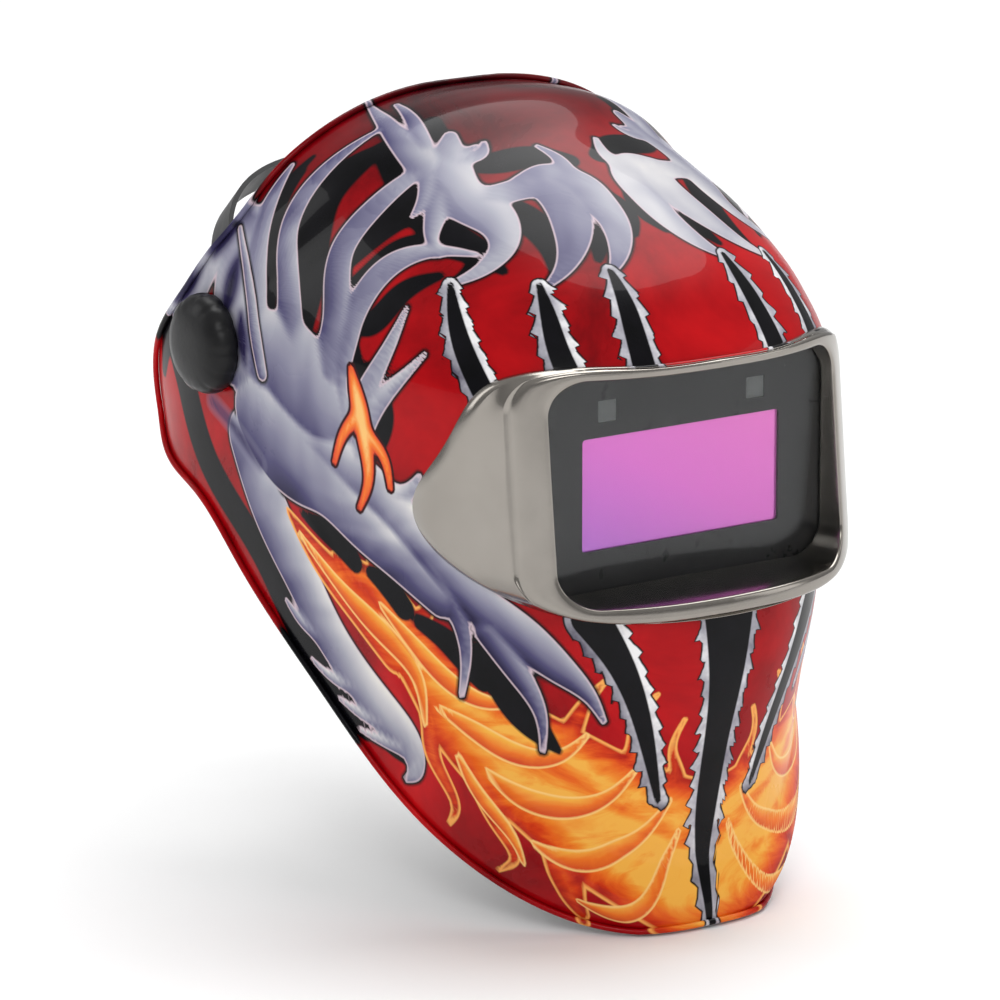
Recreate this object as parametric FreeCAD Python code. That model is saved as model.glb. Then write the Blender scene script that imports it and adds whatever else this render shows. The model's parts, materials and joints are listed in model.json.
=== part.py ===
"""Welding helmet with an auto-darkening filter, seated on its headgear.

Millimetres. The origin is midway between the two side pivots, which lie on the X axis.
The helmet faces -Y, +Z is up and the wearer's right hand is at -X.
The headgear is the root; the shell, with all that it carries, turns on the side studs.
"""
import FreeCAD
import Part
import math
import os

V = FreeCAD.Vector
AXIS_X, AXIS_Y, AXIS_Z = V(1, 0, 0), V(0, 1, 0), V(0, 0, 1)
SIDES = (("right", -1), ("left", 1))

# ---- shell ---------------------------------------------------------------------------
SHELL_HALF_WIDTH = 104.5
SHELL_WALL = 2.4
POLE_Y, POLE_Z = -11.0, 3.0          # centre of the shell's radial profile
# Degrees up from straight ahead, radius on the centre plane, exponent of the side curve.
SHELL_PROFILE = (
    (-180, 110, 2.9), (-150, 120, 2.9), (-120, 165, 2.9), (-90, 212, 2.8), (-75, 242, 2.7),
    (-62, 274, 2.4), (-51, 277, 2.3), (-47, 251, 2.3), (-40, 231, 2.3), (-30, 215, 2.35),
    (-20, 199, 2.45), (-10, 188, 2.6), (0, 182, 2.7), (10, 167, 2.55), (20, 148, 2.4),
    (30, 131, 2.3), (40, 118, 2.2), (50, 110, 2.15), (60, 107, 2.15), (70, 100, 2.25),
    (80, 94, 2.35), (95, 91, 2.5), (115, 97, 2.7), (145, 107, 2.9), (180, 110, 2.9))
# Free edge of the shell seen from the side, from the crown round the back to the chin.
SHELL_EDGE = (
    (-17, 112), (-18, 85), (-14, 71), (-8, 53), (4, 37), (20, 20), (42, 1), (57, -17), (61, -35),
    (51, -51), (17, -64), (-13, -87), (-61, -127), (-106, -171), (-129, -188), (-151, -200),
    (-171, -207), (-211, -209))

# ---- visor opening and front frame -----------------------------------------------------
VISOR_MID_Z = -32.0
VISOR_HALF_W, VISOR_HALF_H = 67.0, 43.0      # clear opening at the rim
VISOR_CORNER = 14.0
FRAME_WALL = 2.7                             # stands this far out from the shell
# Front view of the frame's outer edge, right half, from top centre to bottom centre.
FRAME_OUTLINE = (
    (0, 15.5), (34, 15.6), (63, 15), (80, 8), (88, -15), (92, -42), (87.5, -61), (76, -73.5),
    (60, -80), (30, -82.5), (0, -83))
# Plan view of the front face: half-width and depth at mid height.
FRAME_FACE = ((0, -196.5), (23, -195), (45, -189.5), (60, -182.5), (70, -175.5), (78, -168))
FRAME_LEAN = -6.0                            # degrees, the top of the face leans back
FRAME_THROAT_W, FRAME_THROAT_H = 70.5, 45.3  # outside of the throat that enters the shell

# ---- filter module -------------------------------------------------------------------
PLATE_FRONT_Y = -168.5
MODULE_FRONT_Y = -166.5
MODULE_SPLIT_Y = -158.0
MODULE_BACK_Y = -150.0
MODULE_HALF_W, MODULE_HALF_H = 71.0, 45.0
WINDOW_W, WINDOW_H, WINDOW_MID_Z = 93.0, 44.0, -37.0
GLASS_W, GLASS_H = 99.0, 50.0
SENSOR_X, SENSOR_SIZE = 35.0, 8.5
SENSOR_Z = -5.0
BUTTONS = (("shade_button", -24.0), ("sensitivity_button", 0.0), ("delay_button", 24.0))
BUTTON_Z = -4.0
CAP_X, CAP_Z, CAP_R = 59.6, -37.0, 10.6      # twist caps over the coin cells
COIN_CELL_R, COIN_CELL_T = 10.0, 3.2
BOSS_R, BOSS_END_Y = 4.2, -154.4             # screw bosses inside the shell
CARRIER_SCREWS = ((-56, 19.5), (56, 19.5), (-56, -83.5), (56, -83.5))

# ---- pivots, from the carrier outwards along X ----------------------------------------
STUD_R = 6.0
RUNNING = 0.05                               # radial clearance of a running fit
KNOB_R = 20.0
KNOB_IN_X, KNOB_OUT_X = 105.6, 117.0
STOP_PIN_RADIUS, STOP_PIN_R = 12.5, 2.0
LIFT_DEG = 75.0

# ---- headgear, modelled level and then tilted about the pivots -------------------------
HEAD_TILT = -16.0
BAND_MID_Y = 10.0
BAND_A, BAND_B = 77.0, 97.0                  # inner half-width and half-length
BAND_T = 2.2
BAND_H = 22.0
STRAP_T = 1.8
RACK_PITCH_R = 5.0
RACK_TEETH = 10
REAR_KNOB_R = 19.0


# ---- helpers -------------------------------------------------------------------------
def box(x0, x1, y0, y1, z0, z1):
    """Box between two corners given as ranges."""
    return Part.makeBox(x1 - x0, y1 - y0, z1 - z0, V(x0, y0, z0))


def rod(axis, radius, start, end, centre=(0, 0)):
    """Cylinder along X or Y between two stations, centred in the other two coordinates."""
    if axis == "x":
        return Part.makeCylinder(radius, end - start, V(start, centre[0], centre[1]), AXIS_X)
    return Part.makeCylinder(radius, end - start, V(centre[0], start, centre[1]), AXIS_Y)


def rounded_plate(half_w, half_h, mid_z, corner, y0, y1):
    """Plate with rounded corners that faces along Y."""
    plate = box(-half_w, half_w, y0, y1, mid_z - half_h, mid_z + half_h)
    edges = [e for e in plate.Edges if e.BoundBox.XLength < 0.01 and e.BoundBox.ZLength < 0.01]
    return plate.makeFillet(corner, edges)


def tapered_plate(front, back, mid_z, corner, y0, y1):
    """Like a rounded plate, but its size changes from front to back."""
    wires = []
    for (half_w, half_h), y in ((front, y0), (back, y1)):
        face = rounded_plate(half_w, half_h, mid_z, corner, y, y + 1)
        wires.append([w for w in face.Wires if w.BoundBox.YLength < 0.01
                      and abs(w.BoundBox.YMin - y) < 0.01][0])
    return Part.makeLoft(wires, True, True)


def closed_spline(points):
    """Periodic smooth wire through the points."""
    curve = Part.BSplineCurve()
    curve.interpolate(Points=points, PeriodicFlag=True)
    return Part.Wire([curve.toShape()])


def open_spline(points):
    """Smooth open edge through the points."""
    curve = Part.BSplineCurve()
    curve.interpolate(points)
    return curve.toShape()


def prism(edges, direction):
    """Solid swept straight from the closed outline that the edges make."""
    return Part.Face(Part.Wire(Part.__sortEdges__(edges))).extrude(direction)


def mirrored(shape):
    """The same shape on the other side of the centre plane."""
    return shape.mirror(V(0, 0, 0), AXIS_X)


def on_side(shape, sign):
    """A piece drawn for +X, moved to the side that the sign gives."""
    return shape if sign > 0 else mirrored(shape)


def tilted(shape):
    """A headgear piece, turned from level into its place on the head."""
    out = shape.copy()
    out.rotate(V(0, 0, 0), AXIS_X, HEAD_TILT)
    return out


def save(name, shape):
    """Writes one node, after checking that it is made of closed solids."""
    solids = shape.Solids
    whole = solids[0] if len(solids) == 1 else Part.makeCompound(solids)
    print("%-26s solids %2d  volume %10.1f  valid %s" % (name, len(solids), whole.Volume, whole.isValid()))
    whole.exportStep("parts/%s.step" % name)


# ---- the shell's surface ---------------------------------------------------------------
def profile_at(angle, column):
    """Radius (column 1) or exponent (column 2) at an angle, by a smooth curve with no overshoot."""
    angle = (angle + 180.0) % 360.0 - 180.0
    rows = ((-215, 107, 2.9),) + SHELL_PROFILE + ((210, 120, 2.9),)
    i = max(k for k in range(1, len(rows) - 2) if rows[k][0] <= angle)

    def slope(k):
        before = rows[k][0] - rows[k - 1][0]
        after = rows[k + 1][0] - rows[k][0]
        d0 = (rows[k][column] - rows[k - 1][column]) / before
        d1 = (rows[k + 1][column] - rows[k][column]) / after
        if d0 * d1 <= 0:
            return 0.0
        return 3.0 * (before + after) / ((2 * after + before) / d0 + (after + 2 * before) / d1)

    width = rows[i + 1][0] - rows[i][0]
    t = (angle - rows[i][0]) / width
    return ((2 * t**3 - 3 * t**2 + 1) * rows[i][column] + (t**3 - 2 * t**2 + t) * width * slope(i)
            + (3 * t**2 - 2 * t**3) * rows[i + 1][column] + (t**3 - t**2) * width * slope(i + 1))


def shell_radius(angle, share, grow):
    """Distance from the pole line, at an angle and a share of the half-width, of the grown shell."""
    step = 0.5
    slope = (profile_at(angle + step, 1) - profile_at(angle - step, 1)) / math.radians(2 * step)
    middle = profile_at(angle, 1)
    middle += grow * math.hypot(1.0, slope / middle)
    n = profile_at(angle, 2)
    return middle * (1.0 - abs(share) ** n) ** (1.0 / n)


def shell_body(grow):
    """Full closed egg of the shell's outside, grown (or shrunk) evenly by the amount given."""
    latitudes = (0, 12, 24, 36, 46, 55, 63, 70, 76, 81, 85)
    shares = [math.sin(math.radians(a)) for a in latitudes]
    shares = [-s for s in reversed(shares[1:])] + shares
    wires = []
    for share in shares:
        points = []
        for k in range(72):
            angle = -180 + 5 * k
            r = shell_radius(angle, share, grow)
            a = math.radians(angle)
            points.append(V(share * (SHELL_HALF_WIDTH + grow),
                            POLE_Y - r * math.cos(a), POLE_Z + r * math.sin(a)))
        wires.append(closed_spline(points))
    return Part.makeLoft(wires, True, False)


def kept_region():
    """Everything in front of the shell's free edge, as a block."""
    edge = open_spline([V(-150, y, z) for y, z in SHELL_EDGE])
    first, last = SHELL_EDGE[0], SHELL_EDGE[-1]
    front = -320
    corners = [V(-150, last[0], last[1]), V(-150, front, last[1]), V(-150, front, first[1] + 60),
               V(-150, first[0], first[1] + 60), V(-150, first[0], first[1])]
    lines = [Part.makeLine(corners[k], corners[k + 1]) for k in range(4)]
    return prism([edge] + lines, V(300, 0, 0))


def make_shell(outer):
    inner = shell_body(-SHELL_WALL)
    opening = rounded_plate(FRAME_THROAT_W + 1.0, FRAME_THROAT_H + 0.7, VISOR_MID_Z, VISOR_CORNER, -260, -60)
    shell = outer.cut(inner).common(kept_region()).cut(opening)
    within = shell_body(-SHELL_WALL / 2)
    for x, z in CARRIER_SCREWS:
        boss = rod("y", BOSS_R, -200, BOSS_END_Y, (x, z)).common(within)
        boss = boss.cut(rod("y", 1.55, -162, -150, (x, z)))
        shell = shell.fuse(boss)
    for side, sign in SIDES:
        shell = shell.cut(on_side(rod("x", 10.0, 60, 130), sign))
    return max(shell.Solids, key=lambda s: s.Volume)


# ---- front frame -----------------------------------------------------------------------
def frame_prism(inset):
    """Front outline of the frame, drawn in by the inset and swept along Y."""
    right = [V(x * (1 - inset / 92.0), -260, z + (inset if z < VISOR_MID_Z else -inset))
             for x, z in FRAME_OUTLINE]
    left = [V(-p.x, p.y, p.z) for p in reversed(right[1:-1])]
    return Part.Face(closed_spline(right + left)).extrude(V(0, 200, 0))


def face_block(setback):
    """Block behind the frame's curved front face, moved back by the setback."""
    right = [V(x * (1 - setback / 78.0), y + setback, -150) for x, y in FRAME_FACE]
    left = [V(-p.x, p.y, p.z) for p in reversed(right[1:])]
    curve = open_spline(left + right)
    wide, back = right[-1].x, -120 + setback
    flare = wide + 14
    corners = [right[-1], V(flare, back, -150), V(-flare, back, -150), left[0]]
    lines = [Part.makeLine(corners[k], corners[k + 1]) for k in range(3)]
    block = prism([curve] + lines, V(0, 0, 300))
    block.rotate(V(0, -190, VISOR_MID_Z), AXIS_X, FRAME_LEAN)
    return block


def make_front_frame():
    proud = shell_body(FRAME_WALL).fuse(face_block(0))
    cover = proud.common(frame_prism(0)).cut(shell_body(0.2))
    cover = cover.common(box(-130, 130, -260, -112, -120, 60))
    throat = rounded_plate(FRAME_THROAT_W, FRAME_THROAT_H, VISOR_MID_Z, VISOR_CORNER,
                           -230, PLATE_FRONT_Y - 0.2)
    throat = throat.common(proud)
    opening = tapered_plate((VISOR_HALF_W + 2.5, VISOR_HALF_H + 1.5), (VISOR_HALF_W - 1, VISOR_HALF_H - 1),
                            VISOR_MID_Z, VISOR_CORNER - 2, -215, PLATE_FRONT_Y + 2)
    seat = rounded_plate(MODULE_HALF_W + 0.4, MODULE_HALF_H + 0.4, VISOR_MID_Z, 12,
                         PLATE_FRONT_Y - 0.2, -100)
    frame = cover.fuse(throat).cut(opening).cut(seat)
    return max(frame.Solids, key=lambda s: s.Volume)


# ---- filter module ---------------------------------------------------------------------
def window_block(width, height, y0, y1, corner=1.5):
    return rounded_plate(width / 2, height / 2, WINDOW_MID_Z, corner, y0, y1)


def make_filter_front_housing():
    body = rounded_plate(MODULE_HALF_W, MODULE_HALF_H, VISOR_MID_Z, 12, MODULE_FRONT_Y, MODULE_SPLIT_Y)
    cavity = rounded_plate(MODULE_HALF_W - 2, MODULE_HALF_H - 2, VISOR_MID_Z, 10,
                           MODULE_FRONT_Y + 1.2, MODULE_SPLIT_Y + 1)
    rib = window_block(GLASS_W + 4, GLASS_H + 4, MODULE_FRONT_Y + 1.0, MODULE_SPLIT_Y, 3)
    rib = rib.cut(window_block(GLASS_W + 0.4, GLASS_H + 0.4, MODULE_FRONT_Y + 1.2, MODULE_SPLIT_Y + 1, 2))
    body = body.cut(cavity).fuse(rib)
    body = body.cut(window_block(WINDOW_W, WINDOW_H, MODULE_FRONT_Y - 1, MODULE_FRONT_Y + 2))
    half = SENSOR_SIZE / 2
    for sign in (-1, 1):
        x = sign * SENSOR_X
        body = body.cut(box(x - half, x + half, MODULE_FRONT_Y - 1, MODULE_FRONT_Y + 2,
                            SENSOR_Z - half, SENSOR_Z + half))
    return body


def make_filter_rear_housing():
    body = rounded_plate(MODULE_HALF_W, MODULE_HALF_H, VISOR_MID_Z, 12, MODULE_SPLIT_Y + 0.2, MODULE_BACK_Y)
    body = body.cut(window_block(95, 46, MODULE_SPLIT_Y - 1, MODULE_BACK_Y + 1, 3))
    body = body.cut(box(-60.4, 60.4, MODULE_SPLIT_Y, MODULE_SPLIT_Y + 1.6, -10, 8.4))
    for name, x in BUTTONS:
        body = body.cut(rod("y", 4.0 + RUNNING, MODULE_SPLIT_Y, MODULE_BACK_Y + 1, (x, BUTTON_Z)))
        body = body.cut(rod("y", 5.4, MODULE_SPLIT_Y, -155.4, (x, BUTTON_Z)))
    for k in range(5):
        body = body.cut(box(-13 + 6 * k, -11 + 6 * k, MODULE_BACK_Y - 1.4, MODULE_BACK_Y + 1, 5.0, 8.0))
    for side, sign in SIDES:
        body = body.cut(rod("y", CAP_R + RUNNING, -155.4, MODULE_BACK_Y + 1, (sign * CAP_X, CAP_Z)))
        body = body.cut(box(sign * CAP_X - 4.2, sign * CAP_X + 4.2, -156.4, -155, CAP_Z - 2.2, CAP_Z + 2.2))
    return body


def make_button(x):
    cap = rod("y", 4.0, -157.6, -148.4, (x, BUTTON_Z))
    cap = cap.makeFillet(0.8, [e for e in cap.Edges if abs(e.BoundBox.YMin + 148.4) < 0.01])
    flange = rod("y", 5.0, -157.6, -156.4, (x, BUTTON_Z))
    return cap.fuse(flange)


def make_indicator_lights():
    lights = [box(-12.9 + 6 * k, -11.1 + 6 * k, MODULE_BACK_Y - 1.3, MODULE_BACK_Y + 0.2, 5.1, 7.9)
              for k in range(5)]
    return Part.makeCompound(lights)


def make_battery_cap(x):
    """Twist cap with a coin slot."""
    cap = rod("y", CAP_R, -151.8, -149.0, (x, CAP_Z))
    return cap.cut(box(x - 6.5, x + 6.5, -149.9, -148, CAP_Z - 0.9, CAP_Z + 0.9))


def make_battery_contacts():
    leaves = [box(s * CAP_X - 4, s * CAP_X + 4, -156.2, -155.3, CAP_Z - 2, CAP_Z + 2) for s in (-1, 1)]
    return Part.makeCompound(leaves)


def make_circuit_board():
    board = box(-60, 60, -161.6, -160.0, -9.7, 8)
    parts = [box(x - 3.5, x + 3.5, -163.2, -161.6, -9, -1) for x in (-17, 10)]
    parts += [box(x - 3, x + 3, -160.0, -158.6, BUTTON_Z - 3, BUTTON_Z + 3) for name, x in BUTTONS]
    for part in parts:
        board = board.fuse(part)
    return board


def make_filter_carrier():
    """Frame inside the shell that the module sits in."""
    outer = rounded_plate(MODULE_HALF_W + 3.4, MODULE_HALF_H + 3.4, VISOR_MID_Z, 14, -163.6, -148.0)
    inner = rounded_plate(MODULE_HALF_W + 0.3, MODULE_HALF_H + 0.3, VISOR_MID_Z, 12,
                          -170, MODULE_BACK_Y + 0.2)
    mouth = rounded_plate(MODULE_HALF_W - 4, MODULE_HALF_H - 4, VISOR_MID_Z, 10, -170, -140)
    carrier = outer
    for x, z in CARRIER_SCREWS:
        carrier = carrier.cut(rod("y", BOSS_R + 0.3, -170, BOSS_END_Y + 0.2, (x, z)))
        carrier = carrier.fuse(rod("y", 4.2, -154.0, -148.0, (x, z)))
        toward = z + (6 if z < VISOR_MID_Z else -6)
        carrier = carrier.fuse(box(x - 4.2, x + 4.2, -154.0, -148.0, min(z, toward), max(z, toward)))
        carrier = carrier.cut(rod("y", 1.6, -170, -140, (x, z)))
    carrier = carrier.cut(inner).cut(mouth)
    for sign in (-1, 1):
        carrier = carrier.cut(rod("y", CAP_R + 0.8, -151, -140, (sign * CAP_X, CAP_Z)))
    return carrier.common(shell_body(-SHELL_WALL - 0.4))


def make_carrier_screws():
    screws = []
    for x, z in CARRIER_SCREWS:
        screw = rod("y", 1.5, -160.0, -147.8, (x, z)).fuse(rod("y", 3.0, -147.8, -146.0, (x, z)))
        screws.append(screw.cut(box(x - 3, x + 3, -146.7, -145, z - 0.4, z + 0.4)))
    return Part.makeCompound(screws)


# ---- pivots ----------------------------------------------------------------------------
def ring_sector(centre_r, half_width, from_deg, to_deg, x0, x1):
    """Arc-shaped slot about the X axis; degrees run from +Y towards +Z."""
    ring = rod("x", centre_r + half_width, x0, x1).cut(rod("x", centre_r - half_width, x0 - 1, x1 + 1))
    span = [V(x0 - 1, 0, 0)]
    reach = 4 * centre_r
    for k in range(5):
        a = math.radians(from_deg + (to_deg - from_deg) * k / 4.0)
        span.append(V(x0 - 1, reach * math.cos(a), reach * math.sin(a)))
    wedge = Part.Face(Part.makePolygon(span + [span[0]])).extrude(V(x1 - x0 + 2, 0, 0))
    return ring.common(wedge)


def stop_slot():
    """Room for the stop pin over the whole lift, with the pin's own width at both ends."""
    spare = math.degrees((STOP_PIN_R + 0.3) / STOP_PIN_RADIUS)
    return ring_sector(STOP_PIN_RADIUS, STOP_PIN_R + 0.35, 90 - LIFT_DEG - spare, 90 + spare, 86.0, 89.0)


def make_pivot_parts():
    """One side's pivot stack, drawn at +X, as a list of names and shapes."""
    carrier = box(79.8, 86.3, -20, 20, -12.5, 12.5)
    carrier = carrier.cut(box(79, 81.2, -25, 25, -5.35, 5.35)).cut(box(80.7, 83.3, -25, 25, -9.35, 9.35))
    carrier = carrier.makeFillet(2.5, [e for e in carrier.Edges if e.BoundBox.XLength > 6.4
                                     and abs(abs(e.BoundBox.YMin) - 20) < 0.01])
    stud = rod("x", STUD_R, 84.6, 113.4).fuse(box(83.8, 85.8, -6.5, 6.5, -6.5, 6.5))
    carrier = carrier.cut(box(83.2, 85.8, -6.5, 6.5, -6.5, 6.5)).cut(rod("x", STUD_R, 84, 90))
    stop = rod("x", 17, 86.5, 88.5).cut(rod("x", STUD_R, 86, 89)).cut(stop_slot())
    inner_washer = rod("x", 9.6, 88.8, 90.3).cut(rod("x", STUD_R + 0.3, 88, 91))
    bushing = rod("x", 15, 90.6, 101.3).fuse(rod("x", 9.8, 101.3, 105.0))
    pin = rod("x", STOP_PIN_R, 86.8, 91, (0, STOP_PIN_RADIUS))
    bushing = bushing.fuse(pin).cut(rod("x", STUD_R + RUNNING, 90, 106))
    outer_washer = rod("x", 12.5, 105.3, 106.5).cut(rod("x", STUD_R + 0.3, 105, 107))
    spring = rod("x", 11, 106.6, 107.6).cut(rod("x", STUD_R + 0.6, 106, 108))
    nut = Part.makeCylinder(9, 4, V(108.8, 0, 0), AXIS_X).common(hex_block(7.8, 108.8, 112.8))
    nut = nut.cut(rod("x", STUD_R + RUNNING, 108, 114))
    return [("pivot_carrier", tilted(carrier)), ("pivot_stud", tilted(stud)), ("stop_plate", stop),
            ("friction_washer", inner_washer), ("pivot_bushing", bushing),
            ("outer_washer", outer_washer), ("spring_washer", spring), ("knob_nut", nut),
            ("tension_knob", make_tension_knob())]


def hex_block(apothem, x0, x1):
    """Hexagonal prism along X."""
    r = apothem / math.cos(math.radians(30))
    turns = [math.radians(60 * k) for k in range(7)]
    corners = [V(x0, r * math.cos(turn), r * math.sin(turn)) for turn in turns]
    return Part.Face(Part.makePolygon(corners)).extrude(V(x1 - x0, 0, 0))


def make_tension_knob():
    knob = rod("x", KNOB_R, KNOB_IN_X, KNOB_OUT_X)
    knob = knob.makeFillet(2.5, [e for e in knob.Edges if abs(e.BoundBox.XMin - KNOB_OUT_X) < 0.01
                                 and e.BoundBox.YLength > 10])
    for k in range(12):
        a = math.radians(30 * k)
        knob = knob.cut(rod("x", 3.0, 100, 120, (22.0 * math.cos(a), 22.0 * math.sin(a))))
    knob = knob.cut(rod("x", 13.2, 105, 108.5)).cut(hex_block(7.9, 108.4, 113.0))
    return knob.cut(rod("x", STUD_R + 0.1, 108, 114.0))


# ---- headgear --------------------------------------------------------------------------
def ellipse_block(grow, z0, z1):
    """Elliptical block the size of the band's inside, grown by the amount given."""
    curve = Part.Ellipse(V(0, BAND_MID_Y, z0), BAND_B + grow, BAND_A + grow)
    curve.XAxis = AXIS_Y
    return Part.Face(Part.Wire([curve.toShape()])).extrude(V(0, 0, z1 - z0))


def band_ring(inner, outer, z0, z1):
    """Strip round the head between two offsets from the band's inside."""
    return ellipse_block(outer, z0, z1).cut(ellipse_block(inner, z0 - 1, z1 + 1))


def make_headband():
    band = band_ring(0, BAND_T, -BAND_H / 2, BAND_H / 2)
    brow = band_ring(0, BAND_T, -BAND_H / 2, BAND_H / 2 + 5).common(box(-45, 45, -120, 0, -20, 40))
    band = band.common(box(-100, 100, -120, 50, -30, 30)).fuse(brow)
    for sign in (-1, 1):
        rail = box(74, 81.0, -32, 33, -5, 5).cut(ellipse_block(0, -6, 6))
        rail = rail.fuse(box(81.0, 83.0, -32, 33, -9, 9))
        band = band.fuse(on_side(rail, sign))
    for x in range(-36, 37, 12):
        band = band.cut(box(x - 3.5, x + 3.5, -110, -60, 6.5, 10.5))
    for hole in peg_shapes(0.05) + rivet_shapes(0.05):
        band = band.cut(hole)
    return band


def rear_strap(sign):
    """Flexible rear strap; it ends in a toothed tongue that the ratchet's pinion drives."""
    strap = band_ring(BAND_T + 0.3, BAND_T + 0.3 + STRAP_T, -BAND_H / 2, BAND_H / 2)
    full = strap.common(box(-100, -38, 36, 130, -20, 20))
    tongue = strap.common(box(-40, 22, 40, 130, RACK_PITCH_R + 1.1, 20))
    for k in range(-6, 6):
        x = (k + 0.5) * math.pi
        tongue = tongue.fuse(strap.common(tooth(x, RACK_PITCH_R, -1, 105, 115)))
    piece = full.fuse(tongue)
    for hole in rivet_shapes(0.05):
        piece = piece.cut(hole)
    if sign > 0:
        piece = piece.copy()
        piece.rotate(V(0, 0, 0), AXIS_Y, 180)
    return piece


def tooth(x, pitch_z, direction, y0, y1):
    """One rack tooth, a wedge that points up or down from the pitch line."""
    tip, root = pitch_z + 0.8 * direction, pitch_z - 1.4 * direction
    corners = [V(x - 1.1, y0, root), V(x - 0.35, y0, tip), V(x + 0.35, y0, tip), V(x + 1.1, y0, root)]
    return Part.Face(Part.makePolygon(corners + [corners[0]])).extrude(V(0, y1 - y0, 0))


def arch(half_w, height, thickness, width, power):
    """Strap that stands over the head from side to side; its plane is y = 0."""
    def curve(a, h, start, steps):
        points = []
        for k in range(steps + 1):
            t = math.radians(start + (180 - 2 * start) * k / steps)
            c, s = math.cos(t), math.sin(t)
            points.append(V(math.copysign(a * abs(c) ** (2 / power), c), 0, h * s ** (2 / power)))
        return points
    outer = curve(half_w, height, 4, 16)
    inner = curve(half_w - thickness, height - thickness, 4, 16)
    lines = [Part.makeLine(outer[0], inner[0]), Part.makeLine(outer[-1], inner[-1])]
    strap = prism([open_spline(outer), open_spline(inner)] + lines, V(0, width, 0))
    strap.translate(V(0, -width / 2, 0))
    return strap


def make_crown_strap_front():
    strap = arch(74.6, 82, 1.8, 20, 2.2)
    strap.translate(V(0, 4, 0))
    for hole in peg_shapes(0.05):
        strap = strap.cut(hole)
    return strap


def make_crown_strap_rear():
    strap = arch(73.0, 74, 1.8, 18, 2.9)
    strap.rotate(V(0, 0, 0), AXIS_X, -27)
    strap.translate(V(0, 24, 2))
    for hole in peg_shapes(0.05):
        strap = strap.cut(hole)
    return strap


def peg_shapes(grow):
    """Pegs that hold the crown straps' ends to the band."""
    pegs = []
    for y, inner_x, outer_x in ((4, 71.0, 79.4), (27.5, 69.4, 78.6)):
        peg = rod("x", 2.2 + grow, inner_x, outer_x, (y, 8.0))
        peg = peg.fuse(rod("x", 3.6, inner_x - 1, inner_x, (y, 8.0)))
        pegs += [on_side(peg, sign) for sign in (-1, 1)]
    return pegs


def rivet_shapes(grow):
    """Rivets through the band's rear ends and the rear straps."""
    rivets = []
    for z in (-5.5, 5.5):
        rivet = rod("x", 1.6 + grow, 70.4, 78.6, (43, z)).fuse(rod("x", 3.0, 78.6, 79.6, (43, z)))
        rivet.rotate(V(75, 43, 0), AXIS_Z, 14)
        rivets += [on_side(rivet, sign) for sign in (-1, 1)]
    return rivets


def make_ratchet_housing():
    body = band_ring(BAND_T - 0.1, 13.0, -17, 17).common(box(-34, 34, 60, 140, -20, 20))
    channel = band_ring(BAND_T - 2, BAND_T + 0.6 + STRAP_T, -12, 12)
    body = body.cut(channel).fuse(rod("y", 14.0, 117, 122.2))
    return body.cut(rod("y", 6.6, 100, 115.5)).cut(rod("y", 4.2 + RUNNING, 100, 130))


def make_ratchet_cover():
    cover = band_ring(-1.6, BAND_T - 0.3, -17, 17).common(box(-34, 34, 60, 140, -20, 20))
    return cover.cut(rod("y", 2.5 + RUNNING, 90, 130))


def make_pinion():
    y0, y1 = 109.7, 114.9
    gear = rod("y", RACK_PITCH_R - 1.1, y0, y1)
    for k in range(RACK_TEETH):
        spoke = tooth(0, RACK_PITCH_R, 1, y0, y1)
        spoke.rotate(V(0, 0, 0), AXIS_Y, 360.0 * k / RACK_TEETH)
        gear = gear.fuse(spoke)
    return gear.fuse(rod("y", 4.2, y1, 126)).fuse(rod("y", 2.5, 107.4, y0))


def make_ratchet_knob():
    knob = rod("y", REAR_KNOB_R, 123.6, 140)
    knob = knob.makeFillet(3, [e for e in knob.Edges if abs(e.BoundBox.YMin - 140) < 0.01])
    for k in range(10):
        a = math.radians(36 * k)
        knob = knob.cut(rod("y", 3.4, 120, 150, (21 * math.cos(a), 21 * math.sin(a))))
    return knob.cut(rod("y", 4.2, 120, 126)).cut(rod("y", 13.5, 123, 125.2).cut(rod("y", 6.4, 122, 127)))


def make_detent_spring():
    """Flat ring with two bent fingers that click over the knob's face."""
    ring = rod("y", 13.0, 122.4, 123.3).cut(rod("y", 6.0, 122, 124))
    for sign in (-1, 1):
        ring = ring.fuse(box(sign * 10 - 1.5, sign * 10 + 1.5, 123.2, 124.6, -2, 2))
    return ring


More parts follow.
